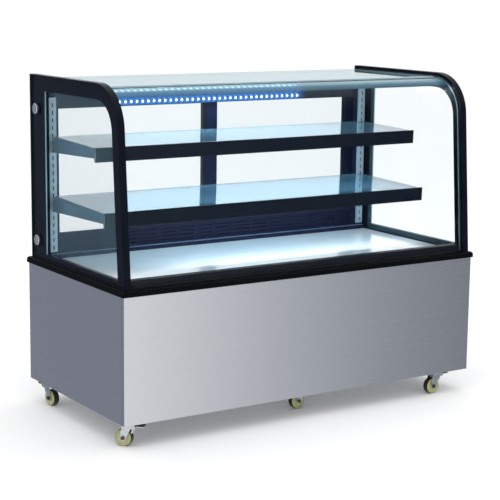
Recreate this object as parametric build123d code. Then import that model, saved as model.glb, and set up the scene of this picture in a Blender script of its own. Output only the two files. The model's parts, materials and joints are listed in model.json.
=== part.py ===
from build123d import *

import os
from math import cos, radians, tan

# Refrigerated bakery display case: a stainless base cabinet on swivel casters, and over it a
# display with a curved front glass, two insulated side units, two glass shelves and two sliding
# rear doors.  Millimetres.  X runs along the case, -Y is the customer's side, +Z is up, and the
# origin is on the floor under the middle of the case.

# ---------------------------------------------------------------- driving dimensions
WIDTH = 1500.0  # over the deck trim
DEPTH = 740.0
HEIGHT = 1205.0  # floor to the top of the side units
PANEL_BOTTOM = 84.0
PANEL_TOP = 520.0
TRIM_OVERHANG = 6.0  # trim beyond the stainless panels
TRIM_TOP = 542.0
TRIM_ROUND = 11.0
TRIM_WIDTH = 60.0
SHEET = 1.2  # stainless panel gauge

SIDE_FACE = 738.0  # outer face of a side unit, from the middle
SIDE_THICK = 26.0
PANE = 5.0  # each pane of a side unit
PANE_GAP = 0.2  # glue line between a pane and its frame
SIDE_REAR = 350.0  # rear edge of the side units
FRONT_FOOT = -355.0  # front edge of the side units at the trim
FRONT_LEAN = 4.4  # degrees, top leaning back
CURVE_RADIUS = 155.0
EDGE_BEAD = 6.0  # frame round the edge of the panes
BOLT_Y, BOLT_HEIGHTS = 292.0, (1085.0, 612.0)
BOLT_HEAD, BOLT_WASHER = 19.0, 21.0  # radii
BAND_FRONT, BAND_TOP, BAND_REAR, BAND_BOTTOM = 52.0, 55.0, 112.0, 24.0
BAND_RADIUS = 106.0
KERB_FRONT = -330.4

FRONT_GLASS_INSET = 14.0
FRONT_GLASS_THICK = 8.0
ROOF_JOINT = -155.0  # where the curved pane meets the roof pane
ROOF_THICK = 6.0

DECK_TOP = 544.0
SHELF_FRONTS = {"upper": -68.0, "lower": -131.0}
SHELF_TOPS = {"upper": 977.0, "lower": 761.0}
SHELF_HALF = 690.0
SHELF_REAR = 256.0
SHELF_TILT = 2.0  # degrees, rear edge up
RAIL_HEIGHT = 50.0
SHELF_GLASS = 6.0

DOOR_THICK = 17.0
DOOR_TRACKS = {"left": 309.0, "right": 329.0}  # front face of each door
DOOR_EDGE = 702.0
DOOR_OVERLAP = 26.0  # each door past the middle
DOOR_BOTTOM, DOOR_TOP = 574.0, 1112.0
STILE, DOOR_BOTTOM_RAIL, DOOR_TOP_RAIL = 52.0, 48.0, 28.0

HEADER_BOTTOM = 1082.0
HEADER_FRONT = 298.0
POST_IN, POST_FRONT, POST_REAR = 676.0, 276.0, 307.0
JAMB = 8.0

WHEEL_R, WHEEL_W, TRAIL = 30.0, 24.0, 22.0
CHASSIS_Z = 92.0  # underside of the chassis and top of the caster plates
# swivel axis and heading of the wheel from it, in degrees
CASTERS = {
    "front_left": (-698.0, -322.0, 130.5),
    "front_middle": (63.0, -234.0, 180.0),
    "front_right": (622.0, -328.0, 180.0),
    "rear_left": (-713.5, 276.5, 280.0),
    "rear_right": (614.0, 262.0, 160.0),
}
BRAKED = ("front_left", "front_right", "rear_left", "rear_right")

FLOOR_SHEET = 2.5
CHASSIS_X, CHASSIS_Y = 741.0, 360.0
CHASSIS_FLANGE = 30.0
ANGLE, ANGLE_T = 35.0, 2.5  # uprights under the tub
RIBS_X = (-650.0, -20.0, 680.0)

RETURN, REAR_FOLD, FOOT_FOLD = 14.0, 15.0, 10.0  # folds of the stainless sheets
SEAM = 1.0
LOUVRE_W, LOUVRE_PITCH, LOUVRE_ROWS = 230.0, 24.0, 12
LOUVRE_COLUMNS = (-300.0, 20.0, 290.0)  # left edge of each column
THERMOSTAT_X, CONTROL_Z = -560.0, 346.0
SWITCHES_X = {"power": -450.0, "light": -400.0}
SWITCH_HALF_X, SWITCH_HALF_Z = 9.5, 13.0
ROCKER_HALF_X, ROCKER_HALF_Z, ROCKER_TILT = 6.0, 10.0, 6.0
GLAND_X, GLAND_Z, GLAND_BORE = -660.0, 150.0, 5.0

TUB_BOTTOM = 385.0
TUB_FLOOR = 425.0
TUB_X, TUB_Y = 738.0, 358.0
CAVITY_X, CAVITY_Y = 700.0, 320.0
DRAIN_X, DRAIN_Y = -420.0, 200.0
PIPE_X, PIPE_Y = 560.0, 60.0
DECK_X, DECK_FRONT, DECK_REAR = 709.0, -299.5, 254.5
SLOT_PITCH = 80.0
DUCT_TOP = 632.0
LEDGE_FRONT, LEDGE_TOP = 256.0, 559.0

SILL_TOP, RIB_TOP, RIB_HALF = 572.0, 580.0, 2.0
PANE_REBATE, REBATE_HALF = 9.0, 6.2  # glazing groove of a door
PULL_WIDE, PULL_DEEP, PULL_Z = 22.0, 9.0, (780.0, 920.0)
PULL_EDGE = 12.0  # from the door's edge to its finger pull

STANDARD_HALF, STANDARD_DEPTH, STANDARD_WALL = 14.0, 11.0, 1.5
STANDARD_Z0, STANDARD_Z1 = 567.0, 1124.0
HOOK_PITCH = 27.0
PLATE_T = 2.5
RAIL_DEPTH = 14.0
ARM_FRONT, ARM_REAR = 29.0, 52.0
LIGHT_TOP_X, LIGHT_HALF_SHELF = (-418.0, 398.0), 672.0

PLATE_HALF, RACE_R, PIN_R = 27.0, 19.0, 6.0
FORK_TOP, FORK_UNDER = 80.5, 78.0
LEG_IN, LEG_OUT = 13.5, 16.0
PIVOT_X, PIVOT_Z, PIVOT_R = -17.0, 70.0, 2.0  # brake pedal's pin
PEDAL_END, PEDAL_HALF = -52.0, 11.0

COIL_X0, COIL_X1 = 110.0, 410.0
COIL_Y0, COIL_Y1 = 270.0, 320.0
COIL_Z0, COIL_Z1 = 100.0, 350.0
FAN_X, FAN_Z, FAN_R = 260.0, 225.0, 96.0
FAN_Y0, FAN_Y1 = 226.0, 248.0
COMPRESSOR_X, COMPRESSOR_Y, COMPRESSOR_TALL = 560.0, 150.0, 185.0
EVAP_HALF = 430.0
BLOWER_Y, BLOWER_Z, BLOWER_R, BLOWER_HALF = -150.0, 474.0, 32.0, 300.0

# ---------------------------------------------------------------- derived dimensions
HALF_W, HALF_D = WIDTH / 2, DEPTH / 2
PANEL_X, PANEL_Y = HALF_W - TRIM_OVERHANG, HALF_D - TRIM_OVERHANG
SIDE_INNER = SIDE_FACE - SIDE_THICK
ROOF_TOP = HEIGHT - FRONT_GLASS_INSET
GLASS_HALF = SIDE_INNER - 1.0  # roof and front panes, clear of the side units
AXLE_Z = WHEEL_R
REAR_PANEL_X = PANEL_X - REAR_FOLD - SEAM
ROCKER_PIVOT_Y = PANEL_Y - 5.0

nodes = {}


# ---------------------------------------------------------------- small helpers
def box(x0, x1, y0, y1, z0, z1):
    """A block between two corners."""
    size = Box(x1 - x0, y1 - y0, z1 - z0)
    return Pos((x0 + x1) / 2, (y0 + y1) / 2, (z0 + z1) / 2) * size


def rod_x(radius, x0, x1, y, z):
    return Pos((x0 + x1) / 2, y, z) * Rot(0, 90, 0) * Cylinder(radius, x1 - x0)


def rod_y(radius, x, y0, y1, z):
    return Pos(x, (y0 + y1) / 2, z) * Rot(90, 0, 0) * Cylinder(radius, y1 - y0)


def rod_z(radius, x, y, z0, z1):
    return Pos(x, y, (z0 + z1) / 2) * Cylinder(radius, z1 - z0)


def profile_x(points, x0, x1):
    """A (y, z) outline run along X."""
    face = make_face(Plane.YZ * Polyline(*points, close=True))
    return Pos(x0, 0, 0) * extrude(face, x1 - x0, dir=(1, 0, 0))


def profile_y(points, y0, y1):
    """An (x, z) outline run along Y."""
    face = make_face(Polyline(*[(x, y0, z) for x, z in points], close=True))
    return extrude(face, y1 - y0, dir=(0, 1, 0))


def mirrored(shape):
    return mirror(shape, Plane.YZ)


def group(*shapes):
    """Separate solids that share one node."""
    return Compound([solid for shape in shapes for solid in shape.solids()])


def fused(first, *rest):
    return first + list(rest) if rest else first


def tube_path(points, radii, outer):
    """A pipe of round section along straight runs joined by arcs."""
    path = FilletPolyline(*points, radius=radii)
    section = Plane(origin=path @ 0, z_dir=path % 0) * Circle(outer)
    return sweep(section, path)


# ---------------------------------------------------------------- side outline
def front_line(z, inset):
    """y of the leaning front edge at height z, moved back by inset."""
    lean = radians(FRONT_LEAN)
    return FRONT_FOOT + (z - TRIM_TOP) * tan(lean) + inset / cos(lean)


def outline(front, top, rear, bottom, radius):
    """Face of the side shape in the YZ plane, drawn in from each edge, front top corner rounded."""
    low, high = TRIM_TOP + bottom, HEIGHT - top
    corners = [
        (front_line(low, front), low),
        (front_line(high, front), high),
        (SIDE_REAR - rear, high),
        (SIDE_REAR - rear, low),
    ]
    face = make_face(Plane.YZ * Polyline(*corners, close=True))
    corner = face.vertices().sort_by_distance((0, *corners[1]))[0]
    return fillet(corner, radius)


def slab(face, x0, x1):
    return Pos(x0, 0, 0) * extrude(face, x1 - x0, dir=(1, 0, 0))


# ---------------------------------------------------------------- base cabinet
def chassis_frame():
    """Floor sheet in a welded rim, with stiffening ribs and six angle uprights under the tub."""
    floor, top = CHASSIS_Z + FLOOR_SHEET, CHASSIS_Z + CHASSIS_FLANGE
    inner_x, inner_y = CHASSIS_X - FLOOR_SHEET, CHASSIS_Y - FLOOR_SHEET
    sheet = box(-CHASSIS_X, CHASSIS_X, -CHASSIS_Y, CHASSIS_Y, CHASSIS_Z, floor)
    long_rim = box(-CHASSIS_X, CHASSIS_X, inner_y, CHASSIS_Y, floor, top)
    end_rim = box(inner_x, CHASSIS_X, -inner_y, inner_y, floor, top)
    pieces = [sheet, long_rim, mirror(long_rim, Plane.XZ), end_rim, mirrored(end_rim)]
    pieces += [box(x, x + 3, -inner_y, inner_y, floor, top) for x in RIBS_X]
    for side in (-1, 1):
        for x, turn in ((-inner_x, 1), (40.0, 1), (inner_x, -1)):
            pieces.append(upright(x, turn, side, floor))
    return group(*pieces)


def upright(x, turn, side, floor):
    """Angle with one leg along X and one along Y, tucked against the rim."""
    y = side * (CHASSIS_Y - FLOOR_SHEET)
    along_x = sorted((x, x + turn * ANGLE)) + sorted((y, y - side * ANGLE_T))
    along_y = sorted((x, x + turn * ANGLE_T)) + sorted((y, y - side * ANGLE))
    return box(*along_x, floor, TUB_BOTTOM) + box(*along_y, floor, TUB_BOTTOM)


def front_panel():
    """Stainless front sheet, folded round both corners and under at its foot."""
    y0 = -PANEL_Y
    sheet = box(-PANEL_X, PANEL_X, y0, y0 + SHEET, PANEL_BOTTOM, PANEL_TOP)
    foot = box(-PANEL_X, PANEL_X, y0, y0 + RETURN, PANEL_BOTTOM, PANEL_BOTTOM + SHEET)
    ends = box(PANEL_X - SHEET, PANEL_X, y0, y0 + RETURN, PANEL_BOTTOM, PANEL_TOP)
    return fused(sheet, foot, ends, mirrored(ends))


def right_side_panel():
    """Stainless end sheet with a folded foot and a folded rear edge."""
    y0, y1 = -PANEL_Y + RETURN + SEAM, PANEL_Y
    sheet = box(PANEL_X - SHEET, PANEL_X, y0, y1, PANEL_BOTTOM, PANEL_TOP)
    foot = box(PANEL_X - FOOT_FOLD, PANEL_X, y0, y1 - SHEET, PANEL_BOTTOM, PANEL_BOTTOM + SHEET)
    rear = box(PANEL_X - REAR_FOLD, PANEL_X, y1 - SHEET, y1, PANEL_BOTTOM, PANEL_TOP)
    return fused(sheet, foot, rear)


def rear_louvre_panel():
    """Service sheet between the side panels' folds: pressed louvres, control cut-outs, cable hole."""
    y1, y0 = PANEL_Y, PANEL_Y - SHEET
    panel = box(-REAR_PANEL_X, REAR_PANEL_X, y0, y1, PANEL_BOTTOM, PANEL_TOP)
    blades = []
    for x in LOUVRE_COLUMNS:
        for row in range(LOUVRE_ROWS):
            z = PANEL_BOTTOM + 60 + row * LOUVRE_PITCH
            panel -= box(x, x + LOUVRE_W, y0 - 1, y1 + 1, z, z + 9)
            blade = [(y0, z + 11), (y1 + 4, z + 1), (y1 + 4, z), (y0, z + 9)]
            blades.append(profile_x(blade, x - 2, x + LOUVRE_W + 2))
    windows = [(THERMOSTAT_X, 35.5, 14.5)] + [(x, SWITCH_HALF_X, SWITCH_HALF_Z) for x in SWITCHES_X.values()]
    for x, half_x, half_z in windows:
        panel -= box(x - half_x, x + half_x, y0 - 1, y1 + 1, CONTROL_Z - half_z, CONTROL_Z + half_z)
    panel -= rod_y(9.0, GLAND_X, y0 - 1, y1 + 1, GLAND_Z)
    return panel + blades


def cable_gland():
    """Flanged bush that guides the supply lead through the service sheet."""
    flange = rod_y(13.0, GLAND_X, PANEL_Y, PANEL_Y + 4, GLAND_Z)
    flange = chamfer(flange.edges().filter_by(GeomType.CIRCLE).sort_by(Axis.Y)[-1], 1.5)
    barrel = rod_y(8.8, GLAND_X, PANEL_Y - 16, PANEL_Y, GLAND_Z)
    return flange + barrel - rod_y(GLAND_BORE, GLAND_X, PANEL_Y - 17, PANEL_Y + 5, GLAND_Z)


def trim_bar(length, reach):
    """Bar along X with its bullnose at y = -reach and both ends cut at 45 degrees."""
    outer, inner, spare = -reach, -reach + TRIM_WIDTH, 5.0
    corners = [(outer, PANEL_TOP), (inner, PANEL_TOP), (inner, TRIM_TOP), (outer, TRIM_TOP)]
    section = make_face(Plane.YZ * Polyline(*corners, close=True))
    nose = section.vertices().sort_by_distance((0, outer, TRIM_TOP))[0]
    bar = slab(fillet(nose, TRIM_ROUND), -length / 2 - spare, length / 2 + spare)
    wide, narrow = length / 2 + spare, length / 2 - TRIM_WIDTH - spare
    mitred = [
        (-wide, outer - spare),
        (wide, outer - spare),
        (narrow, inner + spare),
        (-narrow, inner + spare),
    ]
    plan = make_face(Polyline(*mitred, close=True))
    return bar & Pos(0, 0, PANEL_TOP - 1) * extrude(plan, TRIM_TOP - PANEL_TOP + 2)


def deck_trim():
    """Four mitred, bullnosed bars on the cabinet's rim, which the glass stands on."""
    long_bar, end_bar = trim_bar(WIDTH, HALF_D), trim_bar(DEPTH, HALF_W)
    turns = ((long_bar, 0), (end_bar, 90), (long_bar, 180), (end_bar, 270))
    return group(*[Rot(0, 0, angle) * bar for bar, angle in turns])


def insulated_tub():
    """Foamed well under the deck: floor slab with drain and pipe holes, and four walls."""
    floor = box(-TUB_X, TUB_X, -TUB_Y, TUB_Y, TUB_BOTTOM, TUB_FLOOR)
    floor -= rod_z(8.0, DRAIN_X, DRAIN_Y, TUB_BOTTOM - 1, TUB_FLOOR + 1)
    floor -= rod_z(14.0, PIPE_X, PIPE_Y, TUB_BOTTOM - 1, TUB_FLOOR + 1)
    long_wall = box(-TUB_X, TUB_X, CAVITY_Y, TUB_Y, TUB_FLOOR, PANEL_TOP)
    end_wall = box(CAVITY_X, TUB_X, -CAVITY_Y, CAVITY_Y, TUB_FLOOR, PANEL_TOP)
    return group(floor, long_wall, mirror(long_wall, Plane.XZ), end_wall, mirrored(end_wall))


def deck_pan():
    """Removable display floor with turned-down edges and a row of return-air slots."""
    pan = box(-DECK_X, DECK_X, DECK_FRONT, DECK_REAR, DECK_TOP - 2, DECK_TOP)
    for x in (-686.0, 684.5):
        pan += box(x, x + 1.5, DECK_FRONT, DECK_REAR, DECK_TOP - 18, DECK_TOP - 1)
    for y in (DECK_FRONT, DECK_REAR - 1.5):
        pan += box(-686, 686, y, y + 1.5, DECK_TOP - 18, DECK_TOP - 1)
    for i in range(17):
        x = (i - 8) * SLOT_PITCH
        pan -= box(x - 30, x + 30, -288, -280, DECK_TOP - 3, DECK_TOP + 1)
    return pan


def rear_duct():
    """Kick angle along the back of the deck, and behind it the slotted air duct."""
    skin, half = 2.0, POST_IN - 1.0
    kick = box(-708, 708, LEDGE_FRONT, LEDGE_FRONT + skin, TRIM_TOP, LEDGE_TOP)
    kick += box(-708, 708, LEDGE_FRONT, POST_FRONT - skin, LEDGE_TOP - skin, LEDGE_TOP)
    front, back, foot = POST_FRONT - skin, POST_REAR - 3, TRIM_TOP + 2
    duct = box(-half, half, front, POST_FRONT, foot, DUCT_TOP)
    slope = [
        (front, DUCT_TOP - skin),
        (front, DUCT_TOP),
        (back, DUCT_TOP - 8),
        (back, DUCT_TOP - 8 - skin),
    ]
    rear = box(-half, half, back - skin, back, foot, DUCT_TOP - 9)
    end = box(half - skin, half, front + 1, back, foot, DUCT_TOP - 9)
    duct = fused(duct, profile_x(slope, -half, half), rear, end, mirrored(end))
    for row in range(4):
        z = LEDGE_TOP + 12 + row * 14
        for i in range(16):
            x = (i - 7.5) * 83
            duct -= box(x - 32, x + 32, front - 1, POST_FRONT + 1, z, z + 4)
    return group(kick, duct)


# ---------------------------------------------------------------- glazing
def side_frame():
    """Right-hand frame, in five bars: bead round the panes' edges and band between the panes."""
    whole = outline(0, 0, 0, 0, CURVE_RADIUS)
    opening = outline(BAND_FRONT, BAND_TOP, BAND_REAR, BAND_BOTTOM, BAND_RADIUS)
    pane = pane_outline(0.0)
    frame = slab(whole, SIDE_INNER, SIDE_FACE)
    frame -= slab(opening, SIDE_INNER - 1, SIDE_FACE + 1)
    frame -= slab(pane, SIDE_FACE - PANE - PANE_GAP, SIDE_FACE + 1)
    frame -= slab(pane, SIDE_INNER - 1, SIDE_INNER + PANE + PANE_GAP)
    frame -= bolt_holes(4.5)
    low, high, rear = TRIM_TOP + BAND_BOTTOM, HEIGHT - CURVE_RADIUS, SIDE_REAR - BAND_REAR
    corner = FRONT_FOOT + 190
    bottom = box(0, HALF_W, -HALF_D, rear, TRIM_TOP, low)
    front = box(0, HALF_W, -HALF_D, corner, low, high)
    curve = box(0, HALF_W, -HALF_D, corner, high, HEIGHT)
    top = box(0, HALF_W, corner, rear, high, HEIGHT)
    back = box(0, HALF_W, rear, HALF_D, TRIM_TOP, HEIGHT)
    return group(*[frame & zone for zone in (bottom, front, curve, top, back)])


def pane_outline(clearance):
    inset = EDGE_BEAD + clearance
    return outline(inset, inset, inset, inset, CURVE_RADIUS - inset)


def side_panes():
    """The two panes of the right-hand unit."""
    face = pane_outline(PANE_GAP)
    outer = slab(face, SIDE_FACE - PANE, SIDE_FACE)
    inner = slab(face, SIDE_INNER, SIDE_INNER + PANE)
    return group(outer - bolt_holes(4.5), inner - bolt_holes(4.5))


def bolt_holes(radius):
    holes = [rod_x(radius, SIDE_INNER - 20, SIDE_FACE + 20, BOLT_Y, z) for z in BOLT_HEIGHTS]
    return fused(*holes)


def glass_bolts():
    """Round-headed bolts that pull each side unit on to its rear post, with rubber washers."""
    made = []
    for z in BOLT_HEIGHTS:
        washer = rod_x(BOLT_WASHER, SIDE_FACE, SIDE_FACE + 3, BOLT_Y, z)
        washer -= rod_x(4.5, SIDE_FACE - 1, SIDE_FACE + 4, BOLT_Y, z)
        head = rod_x(BOLT_HEAD, SIDE_FACE + 3, SIDE_FACE + 10, BOLT_Y, z)
        rim = head.edges().filter_by(GeomType.CIRCLE).sort_by(Axis.X)[-1]
        head = chamfer(rim, 1.2)
        shank = rod_x(4.0, SIDE_INNER - JAMB, SIDE_FACE + 4, BOLT_Y, z)
        made += [washer, head + shank]
    right = group(*made)
    return group(right, mirrored(right))


def band_between(inset, thick):
    """Leaning, curved band of the front glazing between two insets, in the YZ plane."""
    outer = outline(inset, inset, 0, 0, CURVE_RADIUS - inset)
    deeper = inset + thick
    inner = outline(deeper, deeper, -20, -20, CURVE_RADIUS - deeper)
    return outer - inner


def front_glass():
    """Single bent pane from the trim up and over to the roof pane."""
    pane = slab(band_between(FRONT_GLASS_INSET, FRONT_GLASS_THICK), -GLASS_HALF, GLASS_HALF)
    pane -= box(-HALF_W, HALF_W, ROOF_JOINT - 1, HALF_D, TRIM_TOP - 1, HEIGHT)
    return pane


def front_glass_rail():
    """Kerb behind the foot of the front pane, open below, with outlets for air up the glass."""
    front, rear, top, skin = KERB_FRONT, DECK_FRONT - 0.5, TRIM_TOP + BAND_BOTTOM, 1.5
    kerb = box(-GLASS_HALF, GLASS_HALF, front, rear, TRIM_TOP, top)
    kerb -= box(-GLASS_HALF - 1, GLASS_HALF + 1, front + skin, rear - skin, TRIM_TOP - 1, top - skin)
    for i in range(17):
        x = (i - 8) * SLOT_PITCH
        kerb -= box(x - 32, x + 32, front + 5, front + 9, top - skin - 1, top + 1)
    return kerb


def roof_glass():
    """Flat pane let in between the side units."""
    pane = box(-GLASS_HALF, GLASS_HALF, ROOF_JOINT, SIDE_REAR, ROOF_TOP - ROOF_THICK, ROOF_TOP)
    rear_edges = pane.edges().filter_by(Axis.X).group_by(Axis.Y)[-1]
    return chamfer(rear_edges, 1.0)


# ---------------------------------------------------------------- rear frame and doors
def rear_posts():
    """Hollow corner posts that the bolts screw into, and behind each a jamb bar for the door."""
    post = box(POST_IN, SIDE_INNER, POST_FRONT, POST_REAR, TRIM_TOP, ROOF_TOP - ROOF_THICK)
    post -= box(POST_IN + 3, SIDE_INNER - 3, POST_FRONT + 3, POST_REAR - 3, TRIM_TOP - 1, HEIGHT)
    post -= bolt_holes(4.1)
    jamb = box(SIDE_INNER - JAMB, SIDE_INNER, POST_REAR, SIDE_REAR, TRIM_TOP, ROOF_TOP - ROOF_THICK)
    return group(post, jamb, mirrored(post), mirrored(jamb))


def rear_header():
    """Hollow top rail with a groove for each door's head."""
    top = ROOF_TOP - ROOF_THICK
    header = box(-POST_IN + 0.5, POST_IN - 0.5, HEADER_FRONT, POST_REAR + 2, HEADER_BOTTOM, top)
    main = SIDE_INNER - JAMB - 0.5
    header += box(-main, main, POST_REAR + 1, SIDE_REAR, HEADER_BOTTOM, top)
    for y in DOOR_TRACKS.values():
        header -= box(-HALF_W, HALF_W, y - 0.8, y + DOOR_THICK + 0.8, HEADER_BOTTOM - 1, DOOR_TOP + 8)
    hollow = box(-HALF_W, HALF_W, HEADER_FRONT + 4, SIDE_REAR - 4, DOOR_TOP + 14, top - 4)
    return header - hollow


def rear_sill():
    """Bottom track: a low block with a running rib under each door."""
    main = SIDE_INNER - JAMB - 0.5
    sill = box(-main, main, POST_REAR + 1, SIDE_REAR, TRIM_TOP, SILL_TOP)
    for y in DOOR_TRACKS.values():
        mid = y + DOOR_THICK / 2
        sill += box(-main, main, mid - RIB_HALF, mid + RIB_HALF, SILL_TOP - 1, RIB_TOP)
    return sill


def door_span(side):
    return (-DOOR_EDGE, DOOR_OVERLAP) if side == "left" else (-DOOR_OVERLAP, DOOR_EDGE)


def pull_stile(x0, x1, y0, y1, pull_x):
    """Outer stile built up round its finger pull: foot, head, and a web with a strip on each side."""
    low, high = PULL_Z
    web = y1 - PULL_DEEP
    return [
        box(x0, x1, y0, y1, DOOR_BOTTOM, low),
        box(x0, x1, y0, y1, high, DOOR_TOP),
        box(x0, x1, y0, web, low, high),
        box(x0, pull_x, web, y1, low, high),
        box(pull_x + PULL_WIDE, x1, web, y1, low, high),
    ]


def door_frame(side):
    """Stiles and rails with a glazing groove and a track groove; the outer stile has the pull."""
    x0, x1 = door_span(side)
    y0, y1 = DOOR_TRACKS[side], DOOR_TRACKS[side] + DOOR_THICK
    mid = (y0 + y1) / 2
    low, high = DOOR_BOTTOM + DOOR_BOTTOM_RAIL, DOOR_TOP - DOOR_TOP_RAIL
    stiles = {"left": (x0, x0 + STILE), "right": (x1 - STILE, x1)}
    meeting = stiles["right" if side == "left" else "left"]
    pull_x = x0 + PULL_EDGE if side == "left" else x1 - PULL_EDGE - PULL_WIDE
    members = [
        box(*meeting, y0, y1, DOOR_BOTTOM, DOOR_TOP),
        box(x0 + STILE, x1 - STILE, y0, y1, DOOR_BOTTOM, low),
        box(x0 + STILE, x1 - STILE, y0, y1, high, DOOR_TOP),
        *pull_stile(*stiles[side], y0, y1, pull_x),
    ]
    in_x, groove = STILE - PANE_REBATE, (mid - REBATE_HALF, mid + REBATE_HALF)
    cuts = box(x0 + in_x, x1 - in_x, *groove, low - PANE_REBATE, high + PANE_REBATE)
    cuts += box(x0 - 1, x1 + 1, mid - 3.5, mid + 3.5, DOOR_BOTTOM - 1, RIB_TOP + 0.3)
    return group(*[member - cuts for member in members])


def door_glass(side):
    """Two thin panes held in the door's glazing groove."""
    x0, x1 = door_span(side)
    mid = DOOR_TRACKS[side] + DOOR_THICK / 2
    hold = PANE_REBATE - 1.0
    z0 = DOOR_BOTTOM + DOOR_BOTTOM_RAIL - hold
    z1 = DOOR_TOP - DOOR_TOP_RAIL + hold
    panes = [box(x0 + STILE - hold, x1 - STILE + hold, mid + y, mid + y + 4, z0, z1) for y in (-6.0, 2.0)]
    return group(*panes)


# ---------------------------------------------------------------- shelves and lights
def shelf_standards():
    """Slotted channels on the rear posts, one each side."""
    y0, y1 = POST_FRONT - STANDARD_DEPTH, POST_FRONT
    x0, x1 = SHELF_HALF - STANDARD_HALF, SHELF_HALF + STANDARD_HALF
    wall = STANDARD_WALL
    strip = box(x0, x1, y0, y1, STANDARD_Z0, STANDARD_Z1)
    strip -= box(x0 + wall, x1 - wall, y0 + wall, y1 + 1, STANDARD_Z0 - 1, HEIGHT)
    count = int((STANDARD_Z1 - STANDARD_Z0) // HOOK_PITCH)
    for i in range(count):
        z = STANDARD_Z0 + 10 + i * HOOK_PITCH
        strip -= box(SHELF_HALF - 2.5, SHELF_HALF + 2.5, y0 - 1, y0 + wall + 1, z, z + 14)
    return group(strip, mirrored(strip))


def shelf_seat(level):
    """Height of the underside of a shelf's glass, before the shelf is tilted."""
    return SHELF_TOPS[level] - 2.0 - SHELF_GLASS


def tilted(level, shape):
    """Turns a level shelf piece about the top front edge of its rail, rear edge up."""
    edge = Pos(0, SHELF_FRONTS[level], SHELF_TOPS[level])
    return edge * Rot(SHELF_TILT, 0, 0) * edge.inverse() * shape


def seat_line(level, y):
    """Height of the underside of a tilted shelf's glass at y."""
    slope = radians(SHELF_TILT)
    drop = (SHELF_TOPS[level] - shelf_seat(level)) / cos(slope)
    return SHELF_TOPS[level] - drop + (y - SHELF_FRONTS[level]) * tan(slope)


def shelf_rail(level):
    """Black front rail: face, lip over the glass, ledge under it and bottom return."""
    y0, top = SHELF_FRONTS[level], SHELF_TOPS[level]
    seat = shelf_seat(level)
    rail = box(-SHELF_HALF, SHELF_HALF, y0, y0 + 2, top - RAIL_HEIGHT, top)
    rail += box(-SHELF_HALF, SHELF_HALF, y0, y0 + 7, top - 1.8, top)
    rail += box(-SHELF_HALF, SHELF_HALF, y0, y0 + RAIL_DEPTH, seat - 2, seat)
    rail += box(-SHELF_HALF, SHELF_HALF, y0, y0 + 8, top - RAIL_HEIGHT, top - RAIL_HEIGHT + 2)
    return tilted(level, rail)


def shelf_glass(level):
    """Toughened shelf with ground edges."""
    seat = shelf_seat(level)
    y0 = SHELF_FRONTS[level] + 2.3
    pane = box(-SHELF_HALF + 4, SHELF_HALF - 4, y0, SHELF_REAR, seat, seat + SHELF_GLASS)
    return tilted(level, chamfer(pane.edges().filter_by(Axis.X).group_by(Axis.Y)[-1], 0.8))


def shelf_brackets():
    """Tapered arms that hook into the standards, two to a shelf."""
    arms = []
    rear = POST_FRONT - STANDARD_DEPTH - 0.5
    x0, x1 = SHELF_HALF - PLATE_T / 2, SHELF_HALF + PLATE_T / 2
    for level, y0 in SHELF_FRONTS.items():
        front = y0 + RAIL_DEPTH + 0.6
        low, high = seat_line(level, front), seat_line(level, rear)
        plate = [(front, low), (rear, high), (rear, high - ARM_REAR), (front, low - ARM_FRONT)]
        flange = [(front, low), (rear, high), (rear, high - 2), (front, low - 2)]
        arm = profile_x(plate, x0, x1)
        arm += profile_x(flange, SHELF_HALF - 16, SHELF_HALF)
        step = round((high - 40 - STANDARD_Z0 - 10) / HOOK_PITCH)
        for i in (step - 1, step):
            slot = STANDARD_Z0 + 10 + i * HOOK_PITCH
            if high - ARM_REAR < slot + 2 and slot + 10 < high:
                arm += box(x0, x1, rear - 1, rear + 6, slot + 2, slot + 12)
        arms += [arm, mirrored(arm)]
    return group(*arms)


def led_strips():
    """Light bars: one on the header and one inside each shelf's front rail."""
    top = box(*LIGHT_TOP_X, HEADER_FRONT - 7, HEADER_FRONT, 1090, 1104)
    bars = [fillet(top.edges().filter_by(Axis.X).group_by(Axis.Y)[0], 2.0)]
    for level, y0 in SHELF_FRONTS.items():
        seat = shelf_seat(level)
        bar = box(-LIGHT_HALF_SHELF, LIGHT_HALF_SHELF, y0 + 2.2, y0 + 12, seat - 8, seat - 2)
        bars.append(tilted(level, bar))
    return group(*bars)


# ---------------------------------------------------------------- casters
def caster_place(name, shape):
    """Moves a caster piece from its own frame, wheel towards +X, to its place."""
    x, y, heading = CASTERS[name]
    return Pos(x, y, 0) * Rot(0, 0, heading) * shape


def caster_plate():
    """Mounting plate with its race, riveted king pin and four bolt heads."""
    plate = box(-PLATE_HALF, PLATE_HALF, -PLATE_HALF, PLATE_HALF, CHASSIS_Z - 3, CHASSIS_Z)
    plate = fillet(plate.edges().filter_by(Axis.Z), 6.0)
    bolt = extrude(Plane.XY.offset(CHASSIS_Z - 6) * RegularPolygon(6.0, 6), 3.5)
    bolts = [Pos(x, y, 0) * bolt for x in (-20, 20) for y in (-20, 20)]
    race = rod_z(RACE_R, 0, 0, FORK_TOP + 0.5, CHASSIS_Z - 2)
    race = fillet(race.edges().filter_by(GeomType.CIRCLE).sort_by(Axis.Z)[0], 3.0)
    pin = rod_z(PIN_R, 0, 0, FORK_UNDER - 3, CHASSIS_Z - 2)
    head = rod_z(9.0, 0, 0, FORK_UNDER - 4.5, FORK_UNDER - 0.5)
    return fused(plate, race, pin, head, *bolts)


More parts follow.
